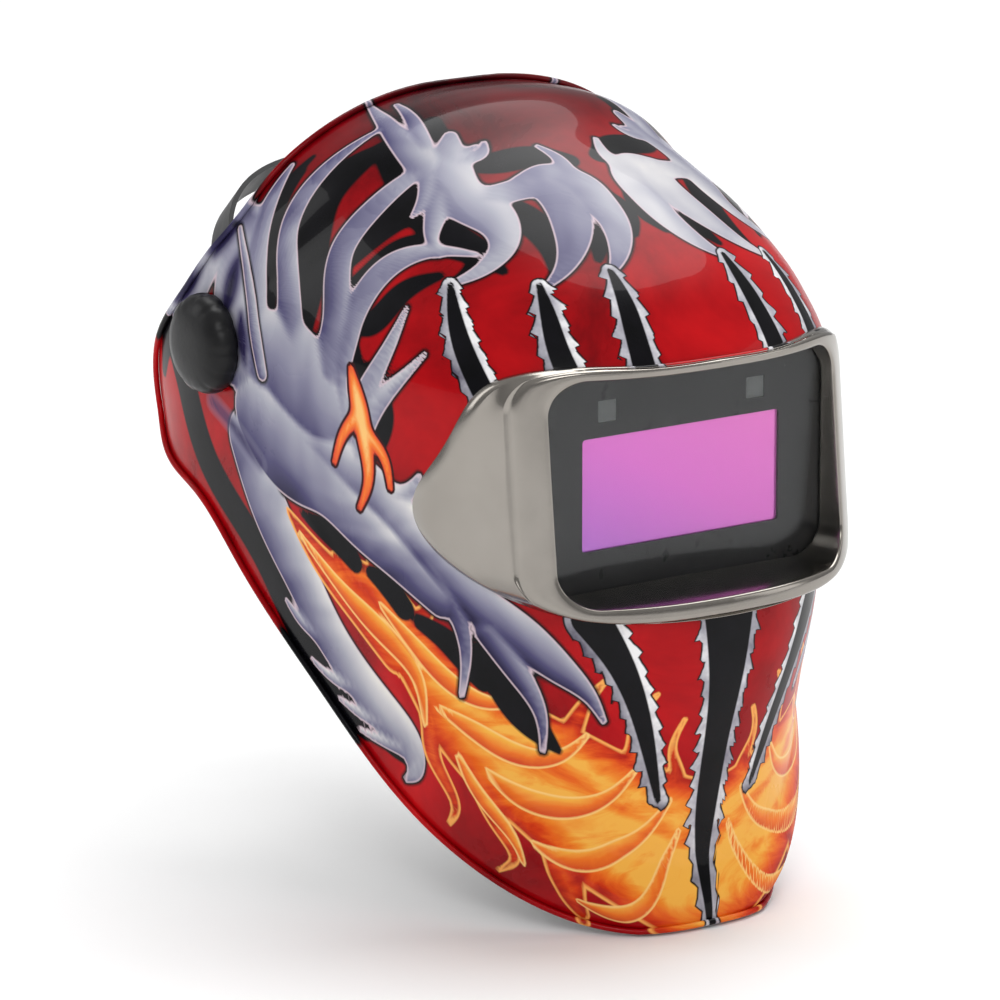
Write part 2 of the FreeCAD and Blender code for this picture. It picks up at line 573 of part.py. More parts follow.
def main():
    os.makedirs("parts", exist_ok=True)
    outer = shell_body(0)
    save("shell", make_shell(outer))
    save("front_frame", make_front_frame())
    save("outer_protection_plate",
         rounded_plate(68.2, 43.5, VISOR_MID_Z, 12, PLATE_FRONT_Y, PLATE_FRONT_Y + 1.5))
    save("filter_front_housing", make_filter_front_housing())
    save("filter_rear_housing", make_filter_rear_housing())
    save("uv_ir_glass", window_block(GLASS_W, GLASS_H, MODULE_FRONT_Y + 1.25, MODULE_FRONT_Y + 3.2))
    save("lcd_cell", window_block(GLASS_W, GLASS_H, MODULE_FRONT_Y + 3.4, MODULE_FRONT_Y + 6.0))
    save("rear_glass", window_block(GLASS_W, GLASS_H, MODULE_FRONT_Y + 6.2, MODULE_FRONT_Y + 8.4))
    half = SENSOR_SIZE / 2 - 0.1
    sensors = [box(s * SENSOR_X - half, s * SENSOR_X + half, MODULE_FRONT_Y + 0.2, -161.8, SENSOR_Z - half,
                   SENSOR_Z + half) for s in (-1, 1)]
    save("arc_sensors", Part.makeCompound(sensors))
    save("circuit_board", make_circuit_board())
    save("filter_carrier", make_filter_carrier())
    save("carrier_screws", make_carrier_screws())
    save("indicator_lights", make_indicator_lights())
    save("battery_contacts", make_battery_contacts())
    save("inner_protection_plate", window_block(97.6, 49, MODULE_BACK_Y + 0.1, MODULE_BACK_Y + 1.1, 4))
    for name, x in BUTTONS:
        save(name, make_button(x))
    for side, sign in SIDES:
        x = sign * CAP_X
        save("battery_cap_" + side, make_battery_cap(x))
        save("coin_cell_" + side, rod("y", COIN_CELL_R, -155.2, -155.2 + COIN_CELL_T, (x, CAP_Z)))
    for name, shape in make_pivot_parts():
        for side, sign in SIDES:
            save("%s_%s" % (name, side), on_side(shape, sign))
    save("headband", tilted(make_headband()))
    save("front_sweatband", tilted(band_ring(-4.2, -0.3, -16, 17).common(box(-62, 62, -120, -30, -20, 20))))
    for side, sign in SIDES:
        save("rear_strap_" + side, tilted(rear_strap(sign)))
    save("crown_strap_front", tilted(make_crown_strap_front()))
    save("crown_strap_rear", tilted(make_crown_strap_rear()))
    save("crown_strap_pegs", tilted(Part.makeCompound(peg_shapes(0))))
    save("strap_rivets", tilted(Part.makeCompound(rivet_shapes(0))))
    save("ratchet_housing", tilted(make_ratchet_housing()))
    save("ratchet_cover", tilted(make_ratchet_cover()))
    save("nape_pad", tilted(band_ring(-7.0, -1.9, -15, 15).common(box(-32, 32, 60, 140, -20, 20))))
    save("ratchet_pinion", tilted(make_pinion()))
    save("ratchet_knob", tilted(make_ratchet_knob()))
    save("detent_spring", tilted(make_detent_spring()))


main()
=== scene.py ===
"""Looks of the welding helmet: painted shell, plated front frame, filter and headgear."""
import json
import math

import bpy
import numpy as np
from mathutils import Matrix, Vector


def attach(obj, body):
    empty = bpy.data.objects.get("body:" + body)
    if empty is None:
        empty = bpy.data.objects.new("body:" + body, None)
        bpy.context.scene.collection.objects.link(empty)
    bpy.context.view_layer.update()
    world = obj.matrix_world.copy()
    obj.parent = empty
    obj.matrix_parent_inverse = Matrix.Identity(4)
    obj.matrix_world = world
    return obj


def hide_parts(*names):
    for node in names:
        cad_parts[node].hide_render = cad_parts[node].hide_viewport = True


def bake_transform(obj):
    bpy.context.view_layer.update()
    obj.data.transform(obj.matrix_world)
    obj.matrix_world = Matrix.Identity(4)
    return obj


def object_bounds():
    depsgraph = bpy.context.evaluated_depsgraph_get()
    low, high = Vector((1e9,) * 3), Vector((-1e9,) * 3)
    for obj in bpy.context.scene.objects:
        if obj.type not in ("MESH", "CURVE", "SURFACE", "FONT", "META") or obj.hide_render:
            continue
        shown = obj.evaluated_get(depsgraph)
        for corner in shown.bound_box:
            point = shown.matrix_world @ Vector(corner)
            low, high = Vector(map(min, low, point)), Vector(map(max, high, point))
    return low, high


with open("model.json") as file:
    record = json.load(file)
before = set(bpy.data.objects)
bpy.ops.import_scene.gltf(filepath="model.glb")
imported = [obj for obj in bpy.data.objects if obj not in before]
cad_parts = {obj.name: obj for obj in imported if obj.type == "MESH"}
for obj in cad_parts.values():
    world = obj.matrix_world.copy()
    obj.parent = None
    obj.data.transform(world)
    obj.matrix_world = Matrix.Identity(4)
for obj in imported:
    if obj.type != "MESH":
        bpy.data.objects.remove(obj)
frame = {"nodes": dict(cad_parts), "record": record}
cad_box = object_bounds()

MM = 0.001

# ---- shell surface, in millimetres, as the part's own formula ----
HALF_WIDTH, WALL = 104.5, 2.4
POLE_Y, POLE_Z = -11.0, 3.0
# Degrees up from straight ahead, radius on the centre plane, exponent of the side curve.
PROFILE = np.array((
    (-215, 107, 2.9), (-180, 110, 2.9), (-150, 120, 2.9), (-120, 165, 2.9), (-90, 212, 2.8),
    (-75, 242, 2.7), (-62, 274, 2.4), (-51, 277, 2.3), (-47, 251, 2.3), (-40, 231, 2.3),
    (-30, 215, 2.35), (-20, 199, 2.45), (-10, 188, 2.6), (0, 182, 2.7), (10, 167, 2.55),
    (20, 148, 2.4), (30, 131, 2.3), (40, 118, 2.2), (50, 110, 2.15), (60, 107, 2.15),
    (70, 100, 2.25), (80, 94, 2.35), (95, 91, 2.5), (115, 97, 2.7), (145, 107, 2.9),
    (180, 110, 2.9), (210, 120, 2.9)), float)
# Free edge of the shell seen from the side, from the crown round the back to the chin.
FREE_EDGE = (
    (-17, 112), (-18, 85), (-14, 71), (-8, 53), (4, 37), (20, 20), (42, 1), (57, -17), (61, -35),
    (51, -51), (17, -64), (-13, -87), (-61, -127), (-106, -171), (-129, -188), (-151, -200),
    (-171, -207), (-211, -209))
VISOR_MID_Z = -32.0
OPENING_HALF_W, OPENING_HALF_H, OPENING_CORNER = 71.5, 46.0, 14.0
PIVOT_HOLE_R = 10.0
# The shell's grid: cells from the pole to the centre plane, and the curve that spaces them evenly.
SKIN_STEPS, LINING_STEPS = 138, 60
GRID_HALF_WIDTH, GRID_RADIUS, GRID_POWER, GRID_SAMPLES = 104, 180, 0.85, 600
EDGE_SPACING = 1.6  # between the rings of the beads along the shell's edges
SHORTEST_EDGE = 120  # a loop with fewer points is a pivot hole, which gets no bead
VISOR_EDGE_SPAN = 80  # the loop round the visor spans less than this, front to back
FRONT_HALF_Y = -100  # the visor's opening is cut only in front of this

# ---- front frame ----
VIEW_HALF_W, VIEW_HALF_H, VIEW_CORNER = 67.0, 43.0, 14.0
FRAME_OUTLINE = (
    (0, 15.5), (34, 15.6), (63, 15), (80, 8), (88, -15), (92, -42), (87.5, -61), (76, -73.5),
    (60, -80), (30, -82.5), (0, -83))
FRAME_FACE = ((0, -196.5), (23, -195), (45, -189.5), (60, -182.5), (70, -175.5), (78, -168), (90, -154))
FRAME_LEAN = math.tan(math.radians(6))
RIDGE_HALF_W, RIDGE_HALF_H, RIDGE_CORNER = 77.5, 49.5, 19.0
RIDGE_SHARE = 0.86  # how far from the view to the outer edge the ridge may lie
FRAME_STEPS, HALVINGS = 480, 40
PLATE_FRONT_Y = -168.5
# Section of the lip round the view: out from the view's edge, and depth behind the front face.
LIP = ((0.5, 0.55), (1.3, 0.1), (2.6, -0.1))
# Edge of the wings rolled down on to the shell: out from the outline, and height over the shell.
EDGE_ROLL = ((0, 1.9), (0.15, 0.6), (-0.2, -0.2))
WING_SHARES = (0.06, 0.14, 0.26, 0.38, 0.5, 0.62, 0.74, 0.86, 0.95)

# ---- tension knobs: radius and distance from the centre plane, from the crown to the shell ----
KNOB_PROFILE = ((0.0, 117.0), (6.0, 116.9), (12.0, 116.3), (16.0, 115.0), (18.4, 113.0), (19.6, 110.4),
                (20.0, 107.6), (19.7, 105.7), (14.4, 105.7))
KNOB_STEPS, KNOB_GROOVES, GROOVE_DEPTH = 120, 12, 0.5
GROOVE_START_R, GROOVE_FULL_R = 15.0, 19.0


# ---- small mathematics ----
def monotone(column, angle):
    """Smooth column of the profile table that never overshoots between its rows."""
    knots, values = PROFILE[:, 0], PROFILE[:, column]
    gap = np.diff(knots)
    rise = np.diff(values) / gap
    slope = np.zeros(len(knots))
    for k in range(1, len(knots) - 1):
        if rise[k - 1] * rise[k] > 0:
            near, far = gap[k - 1], gap[k]
            slope[k] = 3 * (near + far) / ((2 * far + near) / rise[k - 1] + (far + 2 * near) / rise[k])
    row = np.clip(np.searchsorted(knots, angle, side="right") - 1, 0, len(gap) - 1)
    h = gap[row]
    t = (angle - knots[row]) / h
    return ((1 + 2 * t) * (1 - t) ** 2 * values[row] + t * (1 - t) ** 2 * h * slope[row]
            + t * t * (3 - 2 * t) * values[row + 1] + t * t * (t - 1) * h * slope[row + 1])


def radius_and_power(angle, grow):
    """Centre-plane radius, grown outwards by some millimetres, and the side curve's exponent."""
    radius = monotone(1, angle)
    nudge = 0.05
    change = monotone(1, angle + nudge) - monotone(1, angle - nudge)
    lean = change / math.radians(2 * nudge)
    return radius + grow * np.hypot(1, lean / radius), monotone(2, angle)


def skin_points(angle, share, grow):
    """Points at a polar angle and at a share of the half-width, on the x > 0 side."""
    radius, power = radius_and_power(angle, grow)
    reach = radius * np.maximum(1 - share ** power, 0) ** (1 / power)
    turn = np.radians(angle)
    return np.stack([(HALF_WIDTH + grow) * share, POLE_Y - reach * np.cos(turn),
                     POLE_Z + reach * np.sin(turn)], -1)


def to_skin(points, grow=0.0, only_lift=False):
    """Points moved straight away from the pole's centre until they lie on the shell."""
    points = np.asarray(points, float)
    centre = np.array((0, POLE_Y, POLE_Z))
    ray = points - centre
    angle = np.degrees(np.arctan2(ray[:, 2], -ray[:, 1]))
    radius, power = radius_and_power(angle, grow)
    level = (np.abs(ray[:, 0]) / (HALF_WIDTH + grow)) ** power
    level += (np.hypot(ray[:, 1], ray[:, 2]) / radius) ** power
    scale = np.maximum(level, 1e-9) ** (-1 / power)
    if only_lift:
        scale = np.maximum(scale, 1)
    return centre + ray * scale[:, None]


def smooth_line(points, step, closed=False):
    """Natural cubic spline through the points, sampled about every step millimetres."""
    points = np.asarray(points, float)
    wrap = 4 if closed else 0
    if closed:
        points = np.concatenate([points[-wrap:], points, points[:wrap + 1]])
    chord = np.concatenate([[0], np.cumsum(np.linalg.norm(np.diff(points[:, :3], axis=0), axis=1))])
    count = len(points)
    gap = np.diff(chord)
    system, right = np.eye(count), np.zeros_like(points)
    for k in range(1, count - 1):
        system[k, k - 1:k + 2] = gap[k - 1], 2 * (gap[k - 1] + gap[k]), gap[k]
        right[k] = 6 * ((points[k + 1] - points[k]) / gap[k] - (points[k] - points[k - 1]) / gap[k - 1])
    bend = np.linalg.solve(system, right)
    start, end = chord[wrap], chord[count - 1 - wrap]
    at = np.linspace(start, end, max(3, int((end - start) / step) + 1))
    if closed:
        at = at[:-1]
    row = np.clip(np.searchsorted(chord, at, side="right") - 1, 0, count - 2)
    h = gap[row][:, None]
    a = (chord[row + 1] - at)[:, None] / h
    b = 1 - a
    return (a * points[row] + b * points[row + 1]
            + ((a ** 3 - a) * bend[row] + (b ** 3 - b) * bend[row + 1]) * h * h / 6)


def line_distance(points, line):
    """Distance from 2-D points to a polyline."""
    best = np.full(len(points), 1e9)
    for a, b in zip(line[:-1], line[1:]):
        run = b - a
        t = np.clip(((points - a) @ run) / (run @ run), 0, 1)
        best = np.minimum(best, np.linalg.norm(points - a - t[:, None] * run, axis=1))
    return best


def inside(points, polygon):
    """True for the 2-D points inside the polygon."""
    odd = np.zeros(len(points), bool)
    for (ay, az), (by, bz) in zip(polygon, np.roll(polygon, -1, axis=0)):
        if az != bz:
            crosses = (az > points[:, 1]) != (bz > points[:, 1])
            odd ^= crosses & (points[:, 0] < ay + (points[:, 1] - az) * (by - ay) / (bz - az))
    return odd


def rounded_rectangle(x, z, half_w, half_h, corner):
    """Distance outside a rounded rectangle about the visor's middle; negative inside."""
    dx = np.abs(x) - half_w + corner
    dz = np.abs(z - VISOR_MID_Z) - half_h + corner
    return (np.hypot(np.maximum(dx, 0), np.maximum(dz, 0)) + np.minimum(np.maximum(dx, dz), 0)) - corner


# Side view of all that the shell keeps: its free edge, closed by corners far outside it.
EDGE_LINE = smooth_line(FREE_EDGE, 2.0)
KEPT = np.concatenate([EDGE_LINE, [(-400, -209), (-400, 400), (-17, 400)]])


def kept_depth(points, margin):
    """Millimetres inside what is left of the full surface once every opening is cut."""
    side = points[:, 1:]
    depth = line_distance(side, EDGE_LINE)
    depth = np.where(inside(side, KEPT), depth, -depth) - margin
    visor = rounded_rectangle(points[:, 0], points[:, 2], OPENING_HALF_W, OPENING_HALF_H, OPENING_CORNER)
    depth = np.where(points[:, 1] < FRONT_HALF_Y, np.minimum(depth, visor), depth)
    return np.minimum(depth, np.hypot(points[:, 1], points[:, 2]) - PIVOT_HOLE_R)


# ---- meshes ----
def new_mesh(name, points, faces):
    """Smooth-shaded mesh object from points in millimetres."""
    mesh = bpy.data.meshes.new(name)
    mesh.from_pydata((np.asarray(points) * MM).tolist(), [], [tuple(f) for f in faces])
    mesh.update()
    mesh.polygons.foreach_set("use_smooth", [True] * len(mesh.polygons))
    return link_new(name, mesh)


def link_new(name, data):
    """New object for the data, linked into the scene."""
    piece = bpy.data.objects.new(name, data)
    bpy.context.scene.collection.objects.link(piece)
    return piece


def half_surface(steps, grow):
    """Grid over one half of the closed surface: the square's middle is the pole on the side."""
    line = np.linspace(-1, 1, 2 * steps + 1)
    u, v = np.meshgrid(line, line, indexing="ij")
    ring = np.maximum(np.abs(u), np.abs(v))
    flat = np.abs(u) >= np.abs(v)
    safe_u = np.where(u == 0, 1, u)
    safe_v = np.where(v == 0, 1, v)
    turn = np.where(flat, 45 * v / safe_u + np.where(u < 0, 180, 0),
                    90 - 45 * u / safe_v + np.where(v < 0, 180, 0))
    turn = (turn + 180) % 360 - 180
    sweep = np.linspace(0, math.pi / 2, GRID_SAMPLES)
    across = GRID_HALF_WIDTH * np.cos(sweep) ** GRID_POWER
    outward = GRID_RADIUS * np.sin(sweep) ** GRID_POWER
    length = np.append(0, np.cumsum(np.hypot(np.diff(across), np.diff(outward))))
    share = np.interp(ring.ravel() * length[-1], length, across / GRID_HALF_WIDTH)
    share[share < 1e-9] = 0
    return skin_points(turn.ravel(), share, grow)


def clipped_shell(steps, grow, margin, fields=None):
    """Points, faces and per-point fields of the whole shell with its openings cut out."""
    right = half_surface(steps, grow)
    depth = kept_depth(right, margin)
    values = fields(right) if fields else {}
    names = sorted(values)
    side = 2 * steps + 1
    table = np.column_stack([right, depth] + [values[n] for n in names])
    mirrored = table.copy()
    mirrored[:, 0] *= -1
    both = np.concatenate([table, mirrored])
    index = np.arange(side * side).reshape(side, side)
    second = index + side * side
    for border in (np.s_[0, :], np.s_[-1, :], np.s_[:, 0], np.s_[:, -1]):
        second[border] = index[border]
    quads = []
    for grid, flip in ((index, False), (second, True)):
        block = np.stack([grid[:-1, :-1], grid[1:, :-1], grid[1:, 1:], grid[:-1, 1:]], -1).reshape(-1, 4)
        quads.append(block[:, ::-1] if flip else block)
    quads = np.concatenate(quads)
    keep = both[:, 3] > 0
    whole = keep[quads].all(axis=1)
    part = keep[quads].any(axis=1) & ~whole
    faces = quads[whole].tolist()
    extra, cut_at = [], {}

    def cut(a, b):
        key = (min(a, b), max(a, b))
        if key not in cut_at:
            low, high = both[key[0]], both[key[1]]
            t = low[3] / (low[3] - high[3])
            cut_at[key] = len(both) + len(extra)
            extra.append(low + (high - low) * t)
        return cut_at[key]

    for quad in quads[part].tolist():
        face = []
        for a, b in zip(quad, quad[1:] + quad[:1]):
            if keep[a]:
                face.append(a)
            if keep[a] != keep[b]:
                face.append(cut(a, b))
        if len(face) > 2:
            faces.append(face)
    everything = np.concatenate([both, np.array(extra)])
    used = np.unique(np.concatenate([np.asarray(f) for f in faces]))
    place = np.full(len(everything), -1)
    place[used] = np.arange(len(used))
    faces = [place[np.asarray(f)].tolist() for f in faces]
    kept = everything[used]
    return kept[:, :3], faces, {n: kept[:, 4 + k] for k, n in enumerate(names)}


def border_loops(faces):
    """Closed runs of point numbers along the borders of a mesh."""
    uses = {}
    for face in faces:
        for a, b in zip(face, face[1:] + face[:1]):
            uses[(a, b)] = uses.get((a, b), 0) + 1
    after = {a: b for (a, b) in uses if (b, a) not in uses}
    loops = []
    while after:
        start = next(iter(after))
        loop, here = [], start
        while here in after:
            loop.append(here)
            here = after.pop(here)
        loops.append(loop)
    return loops


def evenly(points, step):
    """Closed line resampled at an even spacing."""
    ring = np.concatenate([points, points[:1]])
    run = np.concatenate([[0], np.cumsum(np.linalg.norm(np.diff(ring, axis=0), axis=1))])
    at = np.linspace(0, run[-1], max(8, int(run[-1] / step)), endpoint=False)
    return np.column_stack([np.interp(at, run, ring[:, k]) for k in range(3)])


def ring_faces(rows, count, wrap=False):
    """Quads between rings of count points; with wrap the last ring joins the first."""
    faces = []
    for row in range(rows if wrap else rows - 1):
        below, above = row * count, (row + 1) % rows * count
        for k in range(count):
            after = (k + 1) % count
            faces.append((below + k, below + after, above + after, above + k))
    return faces


def tube(name, line, radius, sides=10):
    """Closed round bead along a line."""
    run = np.roll(line, -1, axis=0) - np.roll(line, 1, axis=0)
    run /= np.linalg.norm(run, axis=1, keepdims=True)
    away = line - line.mean(axis=0)
    first = away - (away * run).sum(axis=1, keepdims=True) * run
    first /= np.linalg.norm(first, axis=1, keepdims=True)
    second = np.cross(run, first)
    turns = np.linspace(0, 2 * math.pi, sides, endpoint=False)
    points = np.concatenate([line + radius * (math.cos(a) * first + math.sin(a) * second) for a in turns])
    return new_mesh(name, points, ring_faces(sides, len(line), wrap=True))


# ---- painted pattern: tapered strokes laid over the shell ----
# Each stroke is a run of (x, y, z, half-width) in millimetres; both sides carry it.
TIP = 1.3  # half-width where a stroke ends in a point
# Black ground behind the metal.
SHADOW = (
    ((104, 38, 4, 10), (104, 24, -20, 9), (103, 6, -50, 8), (102, -16, -68, 7.5), (101, -34, -84, 8),
     (98, -46, -98, 9), (96, -56, -111, 9), (94, -66, -123, 9), (92, -76, -133, 7), (91, -85, -141, 4)),
    ((104, 34, 10, 9), (104, 44, -8, 6), (104, 50, -22, 3)),
    ((101, -61, 18, 5), (99, -60, 31, 7), (93, -52, 48, 8.5), (84, -47, 65, 8.5), (70, -51, 76, 6),
     (58, -56, 83, 2)),
    ((103, -40, 12, 1.5), (102, -37, 26, 3.4), (97, -30, 43, 4), (90, -27, 57, 3.6), (80, -27, 69, 2)),
    ((92, -73, 42, 4), (84, -77, 52, 7), (76, -82, 60, 8), (63, -92, 66, 6)),
    ((96, -76, 30, 3), (90, -90, 44, 5), (82, -98, 52, 6), (72, -112, 54, 4), (64, -124, 52, 2)),
    ((98, -86, 22, 3), (95, -95, 23, 5), (88, -106, 36, 5), (78, -118, 44, 2)),
    ((100, -86, 18, 5), (98, -90, 4, 6), (99, -90, -14, 5), (99, -90, -28, 4)),
    ((98, -100, 4, 6), (96, -106, -8, 6), (97, -101, -24, 5)),
    ((62, -58, 82, 6), (67, -82, 68, 7), (66, -104, 56, 7), (62, -120, 50, 5), (60, -134, 46, 2)),
    ((46, -86, 80, 4), (34, -94, 80, 7), (20, -97, 81, 7), (8, -104, 79, 5)),
    ((46, -112, 67, 6), (41, -128, 61, 7), (42, -141, 54, 5), (47, -150, 47, 2)),
    ((24, -116, 71, 5), (21, -132, 64, 7), (23, -145, 57, 5), (29, -155, 51, 2)),
    ((8, -124, 70, 4), (4, -136, 64, 5), (8, -148, 58, 3)),
    ((66, -92, 62, 6), (66, -112, 54, 7), (64, -124, 51, 5), (74, -124, 43, 2)),
    ((40, -58, 87, 4), (46, -72, 82, 4), (52, -60, 84, 2)),
    ((98, -24, 30, 3), (92, -22, 50, 4), (82, -24, 66, 3), (74, -26, 74, 1.5)),
    ((90, -92, -138, 2), (89, -100, -145, 4), (87, -108, -150, 2)),
)
# Lower blades: the flames lie over them.
BLADE = (
    ((104, -22, -34, 12), (103, -37, -60, 12.5), (101, -55, -83, 11.5), (98, -70, -103, 10.5),
     (94, -86, -119, 10), (90, -101, -132, 10), (87, -111, -143, 7), (85, -110, -153, 3.6),
     (86, -105, -159, TIP)),
    ((97, -64, -104, 4), (98, -52, -100, 2.6), (99, -44, -94, TIP)),
    ((93, -84, -121, 4.5), (95, -70, -121, 2.6), (96, -57, -115, TIP)),
    ((90, -97, -134, 4.5), (93, -84, -134, 2.6), (94, -72, -129, TIP)),
    ((88, -104, -143, 4.2), (91, -93, -144, 2.4), (92, -82, -141, TIP)),
)
SILVER = (
    ((104, -32, 8, 11), (103, -52, -2, 21), (102, -68, -12, 20), (101, -80, -16, 9)),
    ((104, -30, -22, 15), (103, -50, -32, 20), (101, -74, -42, 15), (97, -92, -54, 12),
     (92, -108, -64, 10), (85, -128, -78, 8)),
    ((103, 26, 6, 9), (102, 14, 24, 11), (99, 2, 42, 9), (94, -6, 55, 5), (86, -11, 65, TIP)),
    ((104, -14, -2, 13), (103, -12, 18, 12), (100, -12, 36, 9), (94, -14, 51, 5)),
    ((104, -34, -6, 9), (103, -29, 14, 8), (98, -22, 42, 6.4), (90, -20, 58, 4), (80, -19, 71, TIP)),
    ((103, -54, 6, 9), (101, -48, 26, 7), (94, -37, 50, 5), (80, -37, 68, 4), (56, -44, 86, TIP)),
    ((102, -76, 2, 9), (98, -77, 24, 7.5), (90, -68, 46, 6.5), (78, -70, 61, 5.5), (60, -75, 75, 3.5),
     (36, -81, 84, TIP)),
    ((100, -84, 8, 6), (95, -89, 32, 6), (86, -95, 45, 5.5), (77, -105, 51, 3.6), (64, -122, 51, TIP)),
    ((44, -20, 91, TIP), (50, -40, 87, 3.6), (54, -58, 82, 5.5), (54, -74, 77, 8)),
    ((38, -30, 92, TIP), (44, -50, 88, 3), (50, -66, 83, 4)),
    ((40, -70, 85, 3), (50, -84, 76, 9), (54, -96, 69, 10), (52, -108, 65, 10), (51, -118, 61, 8),
     (56, -128, 54, 5.5), (66, -129, 47, 3.4), (76, -122, 41, TIP)),
    ((58, -90, 68, 6), (66, -97, 60, 4.5), (71, -103, 54, 2.6), (72, -109, 50, TIP)),
    ((56, -80, 72, 5), (63, -86, 66, 3.4), (70, -88, 61, TIP)),
    ((44, -84, 81, 4), (37, -87, 84, 3), (32, -82, 86, TIP)),
    ((50, -104, 67, 7), (38, -108, 70, 6.5), (27, -113, 71, 7.5), (25, -124, 66, 8.5),
     (29, -136, 60, 8), (36, -145, 53, 5.5), (44, -150, 47, 3.2), (53, -152, 42, TIP)),
    ((30, -108, 73, 6), (20, -108, 76, 6), (12, -116, 73, 7), (11, -128, 68, 7.5),
     (12, -140, 61, 6.5), (17, -151, 54, 4.6), (22, -157, 50, 3), (28, -161, 46, TIP)),
    ((14, -112, 75, 5), (11, -102, 79, 3), (14, -92, 83, TIP)),
    ((101, -86, -14, 4), (101, -84, 4, 4.5), (97, -87, 20, 3), (94, -84, 32, TIP)),
    ((101, -88, -20, 4), (98, -99, 0, 4.6), (92, -107, 19, 2.8), (88, -110, 31, TIP)),
    ((100, -92, -32, 4), (98, -103, -8, 4.4), (93, -116, 7, 2.4), (90, -125, 16, TIP)),
    ((103, -52, -26, 9), (100, -84, -35, 12), (95, -108, -46, 10), (88, -128, -63, 9.5),
     (80, -145, -78, 9), (70, -161, -90, 9), (60, -171, -101, 6.5), (51, -179, -113, 3),
     (46, -182, -124, TIP)),
    ((91, -122, -60, 6), (85, -135, -79, 5), (81, -139, -98, 3), (80, -135, -117, TIP)),
    ((77, -150, -90, 7), (69, -159, -107, 5), (63, -164, -123, 2.6), (61, -162, -136, TIP)),
    ((96, -104, -42, 5), (92, -117, -38, 3.4), (91, -123, -31, TIP)),
    ((86, -134, -62, 4), (83, -143, -62, 2.4), (80, -149, -66, TIP)),
)
FLAME = (
    ((103, -49, -58, TIP), (101, -66, -72, 6), (97, -92, -90, 9), (91, -109, -103, 10)),
    ((100, -78, -72, 3), (93, -104, -84, 9), (88, -115, -100, 12), (80, -131, -117, 14),
     (63, -158, -130, 13), (44, -174, -146, 15), (13, -183, -164, 17)),
    ((88, -116, -112, 6), (78, -138, -136, 12), (60, -160, -152, 18), (34, -177, -174, 22),
     (8, -184, -192, 22)),
    ((62, -158, -140, 7), (54, -169, -126, 5), (51, -174, -114, 3), (46, -179, -103, TIP)),
    ((42, -174, -150, 7), (33, -181, -134, 4.6), (34, -183, -121, 2.6), (28, -186, -108, TIP)),
    ((24, -180, -162, 6), (15, -184, -148, 4), (19, -187, -135, 2), (16, -189, -121, TIP)),
    ((84, -122, -124, 6), (83, -121, -142, 4.6), (77, -126, -158, 2.8), (77, -122, -171, TIP)),
    ((76, -142, -144, 7), (71, -145, -162, 5), (65, -148, -177, 2.6), (67, -141, -189, TIP)),
    ((56, -162, -166, 7), (50, -162, -185, 6), (45, -164, -198, 3)),
    ((98, -88, -84, 4), (96, -97, -74, 3), (98, -95, -62, TIP)),
    ((91, -110, -94, 6), (87, -122, -84, 3.6), (88, -122, -71, TIP)),
)
# Bright licks drawn inside the flames.
LICK = (
    ((102, -56, -66, TIP), (98, -82, -84, 3.4), (92, -104, -99, 4.4), (87, -117, -114, 2.6),
     (85, -118, -127, TIP)),
    ((94, -100, -86, TIP), (88, -116, -100, 3.6), (80, -132, -113, 4.2), (71, -147, -116, 2.6),
     (65, -155, -110, TIP)),
    ((84, -124, -122, TIP), (76, -140, -131, 4.2), (66, -154, -138, 4.6), (56, -166, -137, 3),
     (49, -173, -127, TIP)),
    ((74, -142, -144, TIP), (64, -154, -154, 4.4), (51, -167, -158, 4.6), (40, -175, -153, 3),
     (32, -181, -142, TIP)),
    ((62, -154, -166, TIP), (51, -165, -174, 4), (37, -175, -176, 4.4), (25, -181, -169, 2.8),
     (17, -184, -157, TIP)),
    ((48, -164, -188, TIP), (38, -172, -193, 3.6), (26, -179, -192, 3.6), (17, -183, -184, 2.4),
     (12, -185, -173, TIP)),
    ((80, -132, -138, TIP), (74, -139, -152, 3.2), (66, -147, -164, 2.6), (62, -149, -176, TIP)),
)
# Black gaps between the metal and the flames.
LOBE = (
    ((102, -58, -57, 1.5), (100, -68, -60, 4), (98, -80, -65, 5.5), (97, -88, -72, 4)),
    ((95, -96, -74, 3), (93, -104, -78, 5), (90, -111, -85, 5)),
    ((88, -119, -90, 3.5), (84, -128, -94, 5), (80, -137, -102, 5.5), (76, -143, -111, 3)),
    ((78, -144, -98, 4), (67, -157, -121, 7), (57, -168, -137, TIP)),
)
# Dark hollows of the print painted into the metal, and painted shade along the moulded crease below the knob
# (the last stroke).
PRINT_AND_CREASE_SHADE = (
    ((103, 26, 12, TIP), (102, 17, 22, 4.5), (100, 10, 33, TIP)),
    ((100, 2, 34, TIP), (98, -3, 43, 4), (95, -6, 51, TIP)),
    ((103, -8, 12, TIP), (102, -11, 24, 4.6), (100, -13, 36, TIP)),
    ((104, -22, -4, TIP), (103, -20, 6, 3.6), (103, -19, 14, TIP)),
    ((104, 2, -24, TIP), (104, -13, -31, 1.6), (104, -24, -38, 1.8), (104, -32, -43, TIP)),
)
# Painted highlight and shade for the rib moulded into the shell beside the headgear mount: a thin bright bar
# with a dark outline over the metal.
PAINTED_RIB_HIGHLIGHT = (
    ((104, -34, -6, 3.4), (104, -31, 4, 3.8), (103, -26, 18, 3.2), (100, -18, 34, 2.2),
     (97, -9, 46, TIP)),
)
# Small forked flame over the metal.
SPARK = (
    ((100, -90, 6, TIP), (99, -94, -8, 4.4), (98, -97, -24, 3.8), (98, -98, -38, 2.4),
     (99, -93, -50, TIP)),
    ((98, -97, -18, 3), (95, -105, -26, 2.4), (94, -108, -38, TIP)),
    ((99, -93, -12, 3), (101, -85, -22, 2.2), (102, -80, -34, TIP)),
)
